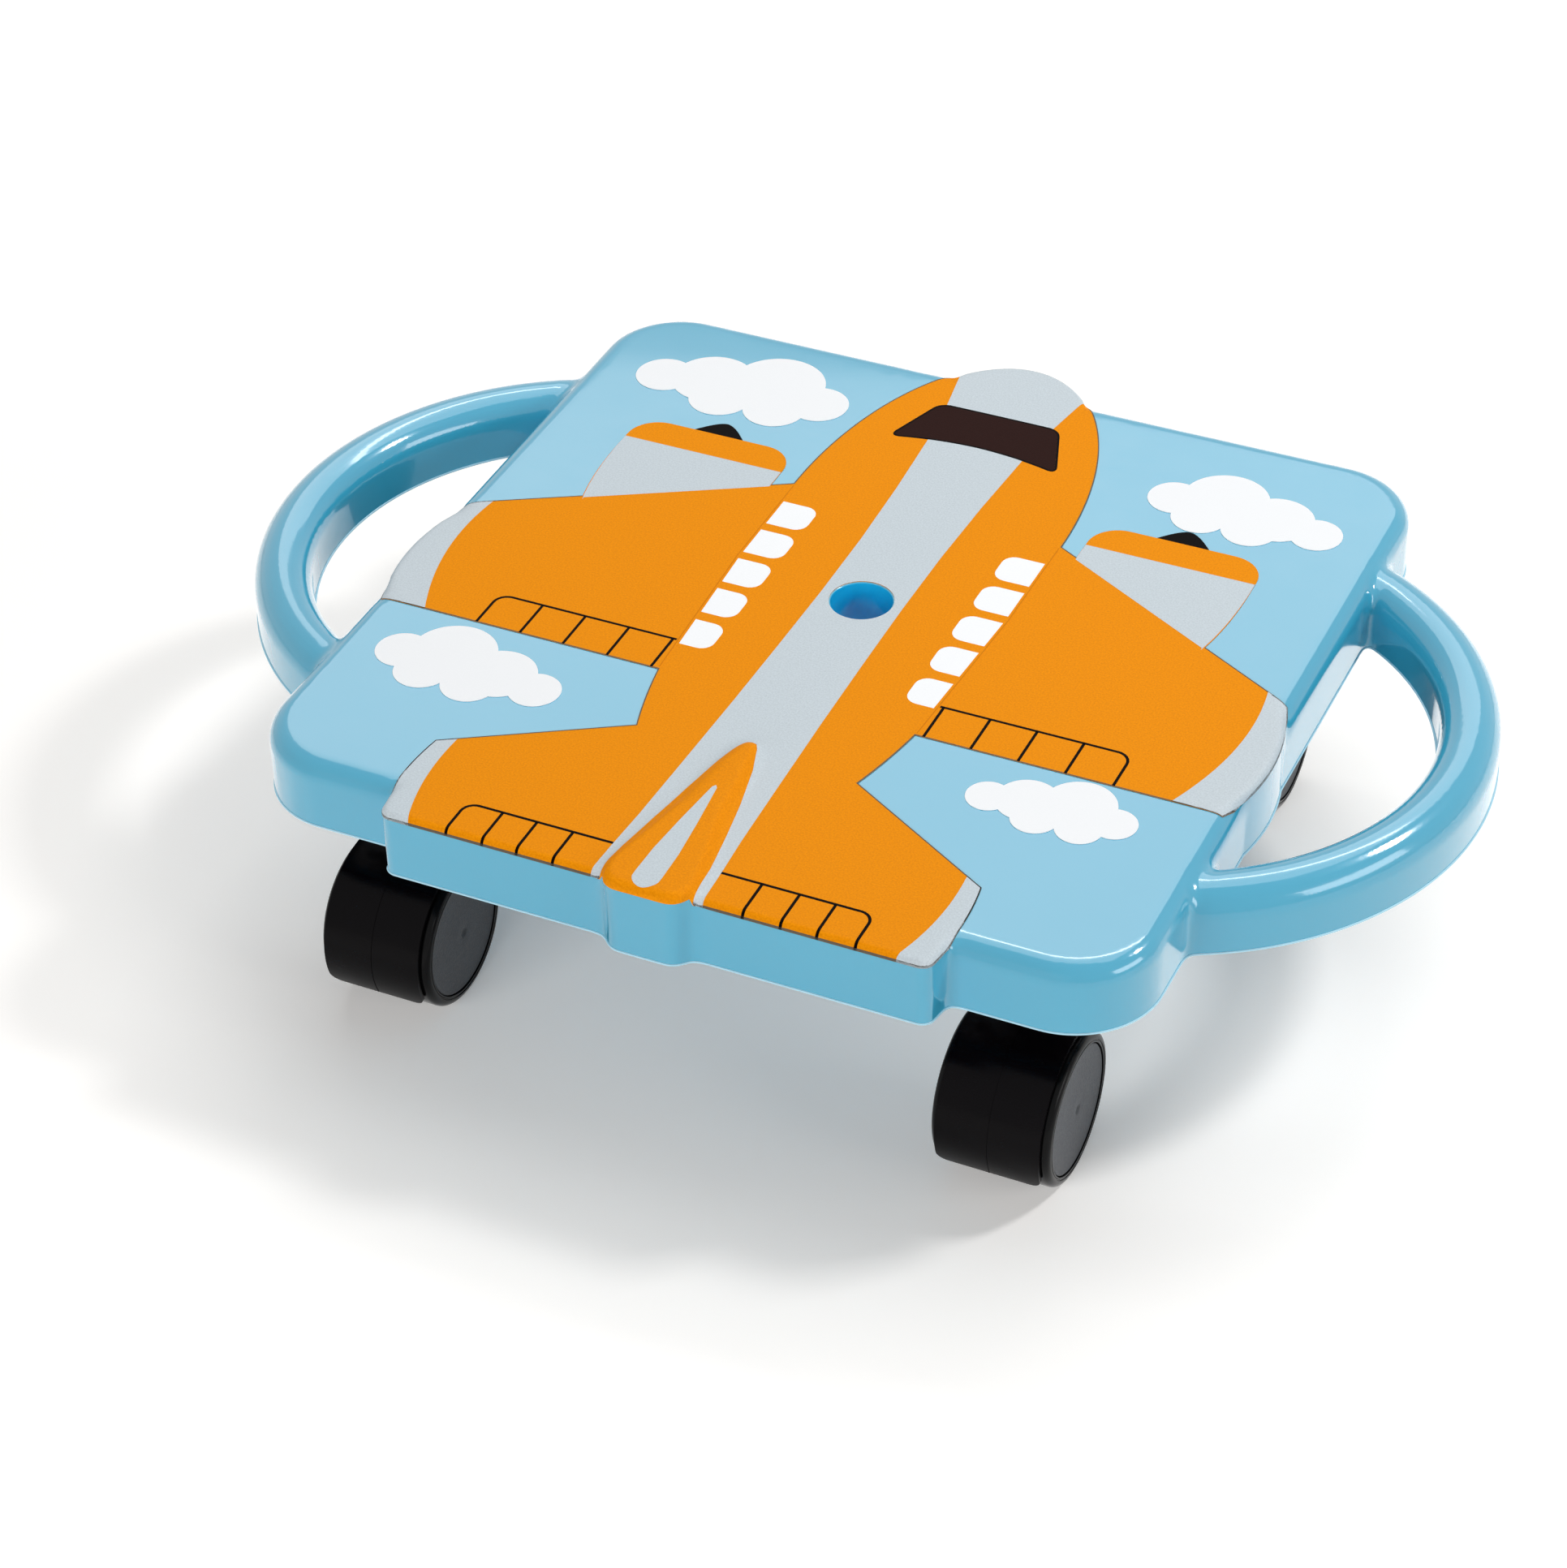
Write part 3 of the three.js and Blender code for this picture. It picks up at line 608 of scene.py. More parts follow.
windows = []
inner, r = 33.4, 4.4
for front, rear in ((42, 28), (24, 10), (6, -8), (-12, -26), (-30.4, -44.4)):
    outline = ([(fuselage_edge(rear) - 1, rear)] + arc(inner + r, rear + r, r, 270, 180, 6)
               + arc(inner + r, front - r, r, 180, 90, 6) + [(fuselage_edge(front) - 1, front)])
    windows += both_sides(outline)
white = join("white_ink", [printed("white", ink_skin, column("window", o)) for o in windows])
print("white", len(white.data.polygons))

# %% Windscreen and lines
LINE, HAIRLINE = 0.95, 0.35


def bent_line(places, width=LINE):
    """A printed line along several points."""
    ahead = [np.array(p) for p in places]
    sides = []
    for i, place in enumerate(ahead):
        way = ahead[min(i + 1, len(ahead) - 1)] - ahead[max(i - 1, 0)]
        sides.append(np.array((-way[1], way[0])) / np.hypot(*way) * width / 2)
    return [tuple(p + s) for p, s in zip(ahead, sides)] + [tuple(p - s) for p, s in
                                                         reversed(list(zip(ahead, sides)))]


lines = []
wing_flap = [(45.4, -42.8), (104.5, -42.8)] + arc(104.2, -47.4, 4.6, 90, 0, 6)[1:] + [(108.8, -61)]
tail_flap = [(17.8, -143.6), (63, -143.6)] + arc(62.8, -147.8, 4.2, 90, 0, 6)[1:] + [(67, -160)]
for outline in both_sides(bent_line(wing_flap)) + both_sides(bent_line(tail_flap)):
    lines.append(column("line", outline))
for x in (46.6, 62.2, 77.8, 93.2):
    lines += [column("line", o) for o in both_sides(bent_line([(x, -43), (x, -61)]))]
for x in (31.1, 43.2, 54.8):
    lines += [column("line", o) for o in both_sides(bent_line([(x, -143.8), (x, -160)]))]
strokes = []
for block in lines:
    strokes.append(printed("stroke", ink_skin, block, column("airplane_block", inset(AIRPLANE, 0.02))))
for outline in both_sides(spinner_outline()):
    strokes.append(printed("spinner", ink_skin, column("spinner", outline)))
frame_block = column("windscreen_frame", windscreen_outline(0.5))
cut(frame_block, column("windscreen", windscreen_outline(-0.3)))
strokes.append(printed("windscreen_frame", ink_skin, frame_block))
black = join("black_ink", strokes)
rim_block = column("print_rim", inset(AIRPLANE, -0.08))
cut(rim_block, column("rim_inside", inset(AIRPLANE, 0.3)))
cut(rim_block, column("fin_block", mirrored(fin_side(1.2))))
for outline in both_sides(engine_outline()):
    cut(rim_block, column("engine_block", outline))
edge_line = printed("print_edge_line", ink_skin, rim_block)
crease = [(47.6, 52), (47.6, 8), (44.1, -58)]
# painted shade: a darker orange hairline for the shade along the crease where the fuselage meets the wing
creases = [printed("crease", ink_skin, column("crease", o)) for o in both_sides(bent_line(crease, HAIRLINE))]
creases = join("fuselage_crease_shade", creases)
glass = printed("windscreen_print", ink_skin, column("windscreen", windscreen_outline(-0.32)))
print("black", len(black.data.polygons), "glass", len(glass.data.polygons))

# %% [markdown]
# ## Clouds
# A cloud is a row of overlapping round lobes. One is drawn at a width of one metre and copied to the
# four corners of the deck, each copy turned over, scaled and moved while its mesh is open.

# %% Clouds
CLOUDS = {"front_left": (-0.605, 0.712, 0.53, -1), "front_right": (0.659, 0.669, 0.462, 1),
          "rear_left": (-0.673, -0.575, 0.448, 1), "rear_right": (0.652, -0.534, 0.367, -1)}
LOBES = [(-0.365, 0.03, 0.135), (-0.13, 0.11, 0.215), (0.155, 0.04, 0.185), (0.37, -0.01, 0.13),
         (0.06, -0.09, 0.14), (-0.2, -0.08, 0.14)]
cloud = None
for across, up, radius in LOBES:
    disc = arc(across * 1000, up * 1000, radius * 1000, 0, 360, 72)[:-1]
    lobe = slab("lobe", disc, DECK_TOP, DECK_TOP + FILM, shift=0)
    cloud = boolean(cloud, lobe, "UNION") if cloud else lobe
clouds = {}
for name, (across, along, width, turn) in CLOUDS.items():
    x, y = across * DECK_HALF, along * (DECK_FRONT if along > 0 else -DECK_REAR)
    piece = copy_of(cloud, f"cloud_print_{name}")
    edit(piece)
    share = width * DECK_HALF * MM
    bpy.ops.transform.resize(value=(turn * share, share, 1), center_override=(0, 0, 0))
    bpy.ops.transform.translate(value=(x * MM, (y + BOARD_SHIFT) * MM, 0))
    bpy.ops.mesh.normals_make_consistent(inside=False)
    done()
    clouds[name] = piece
bpy.data.objects.remove(cloud)
print("clouds", [points_of(c).mean(0).round(3) for c in clouds.values()])

# %% [markdown]
# ## The underside
# The mould's core gives the deck its hollow underside in one stroke: a block a wall's thickness smaller
# than the deck, with slots where ribs, the rope collar and the caster seats stay. The core is modelled
# first, and then cut out of the deck. The foot's outer edge carries a thin round lip where the mould's
# two halves meet. It is the foot's own outline, turned into a round wire. The lip is coloured a paler
# blue than the deck: a painted highlight along the foot.

# %% The mould core
SKIN_BOTTOM, RIB_BOTTOM, COLLAR_BOTTOM, SEAT_BOTTOM = 95.2, 86.2, 78.2, 64
WALL, RIB_HALF, RIB_REACH, COLLAR_RADIUS = 3, 1.1, 170, 14.6
SEAT_HALF, HOLLOW_HALF, SCREW_AT, BOSS_RADIUS = 23, 19.5, 15, 4.5
CASTER_AT = {"front_left": (-104.7, 96.5), "front_right": (104.7, 96.5),
             "rear_left": (-104.7, -103.5), "rear_right": (104.7, -103.5)}


def square(x, y, half, radius):
    return rounded_box(x - half, x + half, y - half, y + half, radius, 5)


def many(name, outlines, bottom, top):
    return join(name, [slab(name, outline, bottom, top) for outline in outlines])


def bar(left, right, rear, front):
    return [(left, rear), (right, rear), (right, front), (left, front)]


deck_inside = rounded_box(WALL - DECK_HALF, DECK_HALF - WALL, DECK_REAR + WALL, DECK_FRONT - WALL,
                          DECK_CORNER - WALL, 16)
core = slab("core", deck_inside, FOOT - 8, SKIN_BOTTOM)
boolean(core, slab("core", inset(airplane_outline(), WALL), FOOT - 8, SKIN_BOTTOM), "UNION")
rib_lines = [-123, -82, -41, 0, 41, 82, 123]
across = [bar(-RIB_REACH, RIB_REACH, y - RIB_HALF, y + RIB_HALF) for y in rib_lines]
along = [bar(x - RIB_HALF, x + RIB_HALF, -RIB_REACH, RIB_REACH) for x in rib_lines]
seats = [square(x, y, SEAT_HALF, 6) for x, y in CASTER_AT.values()]
collar = arc(0, 0, COLLAR_RADIUS, 0, 360, 64)[:-1]
cut(core, many("rib", across, RIB_BOTTOM, 100))
cut(core, many("rib", along, RIB_BOTTOM, 100))
cut(core, many("seat", seats, FOOT - 9, 100))
cut(core, slab("collar", collar, COLLAR_BOTTOM, 100))
print("core", len(core.data.polygons))

# %% The lip round the foot
LIP = 0.38


def foot_lip():
    """A thin round bead along the outer edges of the deck's flat foot."""
    pick_faces(body, lambda middle, normal: normal.z < -0.9 and middle.z < (FOOT + 0.1) * MM)
    bpy.ops.mesh.region_to_loop()
    bpy.ops.mesh.duplicate()
    bpy.ops.mesh.separate(type="SELECTED")
    done()
    bead = [piece for piece in bpy.context.selected_objects if piece is not body][0]
    edit(bead, "VERT")
    bpy.ops.mesh.delete(type="ONLY_FACE")
    bpy.ops.mesh.select_all(action="SELECT")
    bpy.ops.mesh.remove_doubles(threshold=0.4 * MM)
    bpy.ops.transform.translate(value=(0, 0, LIP * MM))
    done()
    bpy.ops.object.convert(target="CURVE")
    bead.data.bevel_depth = LIP * MM
    bead.data.bevel_resolution = 2
    bpy.ops.object.convert(target="MESH")
    bead.name = bead.data.name = "deck_foot_lip"
    print("lip", len(bead.data.polygons), points_of(bead).min(0), points_of(bead).max(0))
    return bead


# %% Cut the underside
cut(body, slab("below", bar(-230, 230, -180, 180), 50, FOOT))
lip = foot_lip()
cut(body, core)
boolean(body, many("seat", seats, SEAT_BOTTOM, SKIN_BOTTOM + 1), "UNION")
hollows = many("hollow", [square(x, y, HOLLOW_HALF, 2.5) for x, y in CASTER_AT.values()], 60, SKIN_BOTTOM)
bosses = [arc(x + sx * SCREW_AT, y + sy * SCREW_AT, BOSS_RADIUS, 0, 360, 24)[:-1]
          for x, y in CASTER_AT.values() for sx in (-1, 1) for sy in (-1, 1)]
cut(hollows, many("boss", bosses, 59, 100))
cut(body, hollows)
print("underside", len(body.data.polygons))

# %% [markdown]
# ## The handles' channels and the rope hole
# Each handle is an upside-down channel with small ribs across it. The rope hole has a rounded rim, a
# slightly wider mouth and a smooth bore, made by spinning its profile.

# %% Channels
for side in (-1, 1):
    channel = ring("channel", side, 3, 60, HANDLE_TOP - 3, -66, 66, 80)
    wall = slab("wall", bar(-150, DECK_HALF, -170, 170), 50, 110)
    if side < 0:
        edit(wall)
        bpy.ops.transform.translate(value=(2.8 * MM, 0, 0))
        done()
    cut(channel, wall)
    ribs = []
    for angle in range(-80, 81, 20):
        a = math.radians(angle)
        out, over = np.array((side * math.cos(a), math.sin(a))), np.array((-side * math.sin(a), math.cos(a)))
        middle = np.array((side * HANDLE_X, HANDLE_Y))
        ribs.append([tuple(middle + out * r + over * w) for r, w in bar(84, 108, -RIB_HALF, RIB_HALF)])
    cut(channel, many("handle_rib", ribs, FOOT + 3, 110))
    cut(body, channel)
print("channels", len(body.data.polygons))

# %% Rope hole
def lathe(name, profile, steps, closed=False):
    """A profile of radii and heights in millimetres, spun about the upright axis through zero."""
    places = [Vector((r * MM, 0, z * MM)) for r, z in profile]
    piece = traced(name, places)
    if closed:
        bpy.ops.mesh.edge_face_add()
        bpy.ops.mesh.delete(type="ONLY_FACE")
        bpy.ops.mesh.select_all(action="SELECT")
    bpy.ops.mesh.spin(steps=steps, angle=math.tau, center=(0, 0, 0), axis=(0, 0, 1))
    bpy.ops.mesh.select_all(action="SELECT")
    bpy.ops.mesh.remove_doubles(threshold=2e-6)
    return closed_up(piece)


def moved(piece, x, y, z=0):
    """Moves a mesh, not its object, by millimetres."""
    edit(piece)
    bpy.ops.transform.translate(value=(x * MM, y * MM, z * MM))
    done()
    return piece


MOUTH, ROUNDING = 10.6, 0.5
rim = [(MOUTH - ROUNDING * math.sin(a), 98.7 + ROUNDING * math.cos(a))
       for a in np.linspace(0, math.pi / 2, 6)]
bore = ([(0, 104), (MOUTH, 104)] + rim + [(10.1, 94.8), (9.9, 94.5), (9.9, COLLAR_BOTTOM + 1.4),
                                        (11.3, COLLAR_BOTTOM), (11.3, 70), (0, 70)])
hole = moved(lathe("rope_hole", bore, 72), 0, BOARD_SHIFT)
cut(body, hole)
print("rope hole", len(body.data.polygons))

# %% [markdown]
# ## The casters
# Each corner stands on a twin-wheel caster: a black nylon hood with a wheel on each side of its middle
# web. One set is modelled round the upright pin's axis and copied to the four seats. Round parts are
# profiles spun about an axis, which is how they are turned or moulded in the real world. The hood hangs
# low over the wheels in front, and is cut to a front view with round corners.

# %% Turning parts onto the axle
AXLE_Y, AXLE_Z, WHEEL_FACE = -17.6, 24.692, 2.2
ACROSS = Matrix(((0, 0, 1, 0), (1, 0, 0, 0), (0, 1, 0, 0), (0, 0, 0, 1)))


def on_axle(piece, side=1):
    """Lays a piece that was made round the upright axis along the axle, facing left or right."""
    turn = ACROSS if side > 0 else Matrix.Rotation(math.pi, 4, "Z") @ ACROSS
    only(piece)
    piece.matrix_world = Matrix.Translation((0, AXLE_Y * MM, AXLE_Z * MM)) @ turn
    bpy.ops.object.transform_apply(location=True, rotation=True, scale=True)
    return piece


def soften(piece, width):
    """Breaks every sharp edge a little, as moulded and pressed parts have."""
    return use(piece, "BEVEL", width=width * MM, segments=2, limit_method="ANGLE",
               angle_limit=math.radians(35), use_clamp_overlap=True)


# %% Wheel and its disc
WHEEL_RADIUS, WHEEL_SHOULDER = 24.69, 2.2


def wheel_profile():
    tread = [(23.4, 0), (24.1, 0.3), (24.5, 0.8), (WHEEL_RADIUS, 1.6), (WHEEL_RADIUS, 14.6)]
    shoulder = arc(WHEEL_RADIUS - WHEEL_SHOULDER, 14.8, WHEEL_SHOULDER, 0, 90, 6)
    face = [(22.2, 17), (22.05, 16.75), (21.75, 16.75), (21.6, 16.95), (21.2, 16.95), (21.1, 16.8),
            (21.1, 15.6), (0, 15.6)]
    return ([(0, 12), (3.3, 12), (3.3, 0.3), (3.6, 0), (6.2, 0), (6.5, 0.3), (6.5, 9), (20.3, 9), (20.3, 0)]
            + tread + shoulder + face)


def disc_profile():
    return [(0, 15.62), (20.8, 15.62), (20.8, 16.35), (20.62, 16.55), (20.3, 16.6), (19.9, 16.48),
            (19.5, 16.42), (6, 16.62), (2.2, 16.66), (1.7, 16.58), (1.2, 16.2), (0.6, 16.1), (0, 16.08)]


wheel_blank = lathe("wheel", wheel_profile(), 96)
disc_blank = lathe("disc", disc_profile(), 96)
print("wheel", len(wheel_blank.data.polygons), "disc", len(disc_blank.data.polygons))

# %% Hood
HOOD_RADIUS, HOOD_HALF, WHEEL_ROOM, NECK_TOP = 26.85, 16.8, 25.5, 60.2


def hood_side(radius):
    top = arc(0, 0, radius, 208, 35, 56)
    return top + [(10, 2.2)] + arc(0, 0, 7, 10, -90, 8)


def hood_blank():
    hood = slab("hood", hood_side(HOOD_RADIUS), -HOOD_HALF, HOOD_HALF, shift=0)
    on_axle(hood)
    neck = [(0, NECK_TOP - 25), (10.5, NECK_TOP - 25), (10.5, NECK_TOP - 0.8), (9.7, NECK_TOP), (0, NECK_TOP)]
    boolean(hood, lathe("neck", neck, 48), "UNION")
    for side in (-1, 1):
        room = [(0, 1.7), (WHEEL_ROOM, 1.7), (WHEEL_ROOM, 22), (0, 22)]
        cut(hood, on_axle(lathe("room", room, 96), side))
    seam_side = arc(0, 0, 27, 207, 60, 56) + arc(0, 0, 26.2, 60, 207, 56)
    seam = on_axle(slab("seam", seam_side, -0.22, 0.22, shift=0))
    boolean(hood, seam, "UNION")
    pin = [(0, 45.9), (4.3, 45.9), (4.3, 62), (0, 62)]
    cut(hood, lathe("pin_hole", pin, 32))
    bore = [(0, -3), (3.05, -3), (3.05, 3), (0, 3)]
    cut(hood, on_axle(lathe("axle_hole", bore, 32)))
    flap = rounded_box(-HOOD_HALF - 0.1, HOOD_HALF + 0.1, 12.3, 80, 3.8, 8)
    front_view = slab("front_view", flap, -50, 50, shift=0)
    front_view.matrix_world = Matrix.Rotation(math.pi / 2, 4, "X")
    settle(front_view)
    boolean(hood, front_view, "INTERSECT")
    return soften(hood, 0.45)


hood = hood_blank()
print("hood", len(hood.data.polygons), points_of(hood).min(0), points_of(hood).max(0))

# %% Plate, pin, washer, screw and axle
PLATE_HALF, PLATE_BOTTOM = 21.5, 61.5


def plate_blank():
    outline = rounded_box(-PLATE_HALF, PLATE_HALF, -PLATE_HALF, PLATE_HALF, 5, 8)
    plate = slab("plate", outline, PLATE_BOTTOM, SEAT_BOTTOM, shift=0)
    for x, y in [(sx * SCREW_AT, sy * SCREW_AT) for sx in (-1, 1) for sy in (-1, 1)]:
        hole = [(x + px, y + py) for px, py in arc(0, 0, 2.6, 0, 360, 24)[:-1]]
        cut(plate, slab("hole", hole, 60, 66, shift=0))
    cut(plate, slab("hole", arc(0, 0, 4.05, 0, 360, 32)[:-1], 60, 66, shift=0))
    return soften(plate, 0.35)


def screw_blank():
    profile = [(0, 59.1), (2.6, 59.15), (3.5, 59.6), (3.95, 60.3), (4, 61.1), (3.9, 61.5), (2, 61.5)]
    pitch = 1.35
    for turn in range(9):
        z = 62 + turn * pitch
        profile += [(2, z), (1.72, z + 0.45), (1.72, z + 0.9)]
    screw = lathe("screw", profile + [(1.6, 74.5), (0, 76.4)], 24)
    for a, b in ((0.45, 2.3), (2.3, 0.45)):
        cut(screw, slab("slot", bar(-a, a, -b, b), 58, 60.6, shift=0))
    return screw


pin_profile = [(0, 46.2), (3.6, 46.2), (4, 46.6), (4, 47.7), (3.4, 47.7), (3.4, 49.2), (4, 49.2), (4, 64),
               (6.6, 64), (7, 64.5), (6.7, 65.3), (5.4, 65.85), (0, 66)]
washer_profile = [(4.05, 60.5), (9.2, 60.5), (9.5, 60.8), (9.5, 61.3), (9.2, 61.5), (4.05, 61.5),
                  (4.05, 60.5)]
axle_profile = [(0, -13.9), (2.6, -13.9), (3, -13.5), (3, 13.5), (2.6, 13.9), (0, 13.9)]
plate, screw = plate_blank(), screw_blank()
pin = lathe("pin", pin_profile, 40)
washer = lathe("washer", washer_profile, 48, closed=True)
axle = on_axle(lathe("axle", axle_profile, 32))
print("plate", len(plate.data.polygons), "screw", len(screw.data.polygons))

# %% Copy the set to each corner
def placed(blank, name, x, y, node, body_name, angle=30):
    piece = moved(copy_of(blank, name), x, y + BOARD_SHIFT)
    settle(piece, angle)
    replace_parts(piece, node)
    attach(piece, body_name)
    return piece


made = {"hood": [], "zinc": [], "washer": [], "wheel": [], "disc": []}
sided = {side: (on_axle(copy_of(wheel_blank, "w"), sign), on_axle(copy_of(disc_blank, "d"), sign))
         for side, sign in (("left", -1), ("right", 1))}
for side, (wheel, disc) in sided.items():
    shift = WHEEL_FACE if side == "right" else -WHEEL_FACE
    moved(wheel, shift, 0)
    moved(disc, shift, 0)
for corner, (x, y) in CASTER_AT.items():
    caster = f"caster_{corner}"
    made["zinc"].append(placed(plate, f"plate_{corner}", x, y, f"caster_plate_{corner}", "board"))
    made["zinc"].append(placed(pin, f"pin_{corner}", x, y, f"kingpin_{corner}", "board"))
    made["washer"].append(placed(washer, f"washer_{corner}", x, y, f"thrust_washer_{corner}", "board"))
    for i, (sx, sy) in enumerate(((-1, 1), (1, 1), (-1, -1), (1, -1)), 1):
        node = f"screw_{corner}_{i}"
        at_x, at_y = x + SCREW_AT * sx, y + SCREW_AT * sy
        made["zinc"].append(placed(screw, f"fixing_{corner}_{i}", at_x, at_y, node, "board"))
    made["hood"].append(placed(hood, f"hood_cover_{corner}", x, y, f"hood_{corner}", caster, 25))
    made["zinc"].append(placed(axle, f"axle_rod_{corner}", x, y, f"axle_{corner}", caster))
    for side, (wheel, disc) in sided.items():
        turning = f"wheel_{corner}_{side}"
        made["wheel"].append(placed(wheel, f"tyre_{corner}_{side}", x, y, turning, turning))
        cap = f"wheel_cap_{corner}_{side}"
        made["disc"].append(placed(disc, f"disc_{corner}_{side}", x, y, cap, turning))
for blank in (wheel_blank, disc_blank, hood, plate, screw, pin, washer, axle):
    bpy.data.objects.remove(blank)
for pair in sided.values():
    for blank in pair:
        bpy.data.objects.remove(blank)
print({kind: len(pieces) for kind, pieces in made.items()})

# %% [markdown]
# ## Finishing the deck and the print
# The pieces of the deck ride on the board. Weighted normals keep the flat faces flat where they meet
# the rounded ones, so highlights run clean up to the edges.

# %% Ride and replace
for piece in (film_skin, ink_skin):
    bpy.data.objects.remove(piece)
body.name = body.data.name = "deck_moulding"
for piece, node in ((body, "deck_shell"), (film, "airplane_film")):
    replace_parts(settle(piece, 35), node)
for corner, piece in clouds.items():
    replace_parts(settle(piece, 35), f"cloud_film_{corner}")
for piece in (grey, white, black, glass, edge_line, creases, lip):
    settle(piece, 35)
deck_pieces = [body, lip, film, grey, white, black, glass, edge_line, creases] + list(clouds.values())
for piece in deck_pieces:
    use(piece, "WEIGHTED_NORMAL", mode="FACE_AREA", weight=60, keep_sharp=True)
    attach(piece, "board")
print("on the board", len(deck_pieces))

# %% [markdown]
# ## Materials
# Every finish is a Principled shader fed by procedural nodes in Object coordinates, so it needs no
# picture and follows its piece. Effects that several finishes share, such as the waviness of moulded
# plastic or the pebble grain of the film, are node groups with their own sizes as inputs.

# %% Node helpers
def linear(colour):
    """A screen colour from 0 to 255 as the linear colour that nodes use."""
    return (*[c / 12.92 if c < 0.04045 else ((c + 0.055) / 1.055) ** 2.4 for c in
              (value / 255 for value in colour)], 1)


def add(tree, kind, links=None, **settings):
    """Adds a node, sets its properties, and fills its inputs with values or other nodes' outputs."""
    node = tree.nodes.new(kind)
    for name, value in settings.items():
        setattr(node, name, value)
    for key, value in (links or {}).items():
        socket = node.inputs[key]
        if isinstance(value, bpy.types.NodeSocket):
            tree.links.new(value, socket)
        else:
            socket.default_value = value
    return node


def ramp(tree, factor, stops):
    """A colour ramp from positions and grey levels or colours."""
    node = add(tree, "ShaderNodeValToRGB", {"Fac": factor})
    while len(node.color_ramp.elements) < len(stops):
        node.color_ramp.elements.new(0.5)
    for element, (place, colour) in zip(node.color_ramp.elements, stops):
        element.position = place
        element.color = colour if isinstance(colour, tuple) else (colour, colour, colour, 1)
    return node.outputs["Color"]


def maths(tree, operation, *values):
    """The output of a maths node for some values or other outputs."""
    return add(tree, "ShaderNodeMath", dict(enumerate(values)), operation=operation).outputs[0]


def object_place(tree):
    return add(tree, "ShaderNodeTexCoord").outputs["Object"]


def noise(tree, place, scale, detail, distortion=0.0):
    node = add(tree, "ShaderNodeTexNoise", {"Vector": place, "Scale": scale, "Detail": detail,
                                            "Distortion": distortion})
    return node.outputs["Fac"]


def spanned(tree, value, low, high, start=0.3, end=0.7):
    """A value from start to end as one from low to high."""
    node = add(tree, "ShaderNodeMapRange", {"Value": value, "From Min": start, "From Max": end,
                                            "To Min": low, "To Max": high})
    return node.outputs[0]


def group(name, inputs, outputs):
    """A new node group with float inputs and outputs, and its two end nodes."""
    tree = bpy.data.node_groups.new(name, "ShaderNodeTree")
    for label, value in inputs.items():
        socket = tree.interface.new_socket(label, in_out="INPUT", socket_type="NodeSocketFloat")
        socket.default_value = value
    for label in outputs:
        tree.interface.new_socket(label, in_out="OUTPUT", socket_type="NodeSocketFloat")
    return tree, tree.nodes.new("NodeGroupInput").outputs, tree.nodes.new("NodeGroupOutput").inputs


# %% Shared effects
def moulded_group():
    """The slight waviness, uneven gloss and tint of a moulded surface."""
    tree, given, result = group("moulded_surface", {"Wave Scale": 60, "Fine Scale": 1400, "Fine Share": 0.1},
                                ["Height", "Gloss", "Tint"])
    place = object_place(tree)
    wave = noise(tree, place, given["Wave Scale"], 2)
    part = maths(tree, "MULTIPLY", noise(tree, place, given["Fine Scale"], 3), given["Fine Share"])
    tree.links.new(maths(tree, "ADD", wave, part), result["Height"])
    tree.links.new(wave, result["Gloss"])
    tree.links.new(noise(tree, place, 9.0, 3), result["Tint"])
    return tree


def pebble_group():
    """The fine pebble grain of the printed film: small round bumps of uneven size."""
    tree, given, result = group("pebble_grain", {"Grain Scale": 1500}, ["Height", "Speckle"])
    place = object_place(tree)
    bumps = add(tree, "ShaderNodeTexVoronoi", {"Vector": place, "Scale": given["Grain Scale"],
                                               "Randomness": 1.0}, feature="SMOOTH_F1")
    mottle = noise(tree, place, 1700.0, 3)
    domes = maths(tree, "SUBTRACT", 1.0, bumps.outputs["Distance"])
    tree.links.new(maths(tree, "MULTIPLY", domes, mottle), result["Height"])
    tree.links.new(mottle, result["Speckle"])
    return tree


def scuff_group():
    """Thin dull scratches and a little dust: a mask that is mostly zero."""
    tree, given, result = group("scuffs", {"Length": 40, "Amount": 0.35}, ["Mask"])
    place = object_place(tree)
    stretch = add(tree, "ShaderNodeMapping", {"Vector": place, "Scale": (1, 9, 3),
                                              "Rotation": (0.3, 0.2, 0.7)})
    lines = noise(tree, stretch.outputs[0], given["Length"], 6, distortion=0.4)
    thin = ramp(tree, lines, [(0.62, 0.0), (0.66, 1.0), (0.7, 0.0)])
    spots = ramp(tree, noise(tree, place, 2200.0, 2), [(0.72, 0.0), (0.8, 1.0)])
    both = maths(tree, "MAXIMUM", thin, spots)
    tree.links.new(maths(tree, "MULTIPLY", both, given["Amount"]), result["Mask"])
    return tree


MOULDED, PEBBLE, SCUFFS = moulded_group(), pebble_group(), scuff_group()
print("groups", [tree.name for tree in (MOULDED, PEBBLE, SCUFFS)])


# %% Finishes
def finish(name, **constants):
    """A new material, its node tree and its Principled shader with constants set on its own sockets."""
    material = bpy.data.materials.new(name)
    material.use_nodes = True
    tree = material.node_tree
    shader = tree.nodes["Principled BSDF"]
    for label, value in constants.items():
        shader.inputs[label.replace("_", " ")].default_value = value
    return material, tree, shader


def effect(tree, shared, **values):
    node = tree.nodes.new("ShaderNodeGroup")
    node.node_tree = shared
    for label, value in values.items():
        node.inputs[label.replace("_", " ")].default_value = value
    return node.outputs


def tinted(tree, shader, factor, low, high):
    """Base Color moves between two screen colours as a factor goes from 0.3 to 0.7."""
    colour = ramp(tree, factor, [(0.3, linear(low)), (0.7, linear(high))])
    tree.links.new(colour, shader.inputs["Base Color"])


def bumped(tree, shader, height, strength, distance):
    bump = add(tree, "ShaderNodeBump", {"Height": height, "Strength": strength, "Distance": distance})
    tree.links.new(bump.outputs["Normal"], shader.inputs["Normal"])


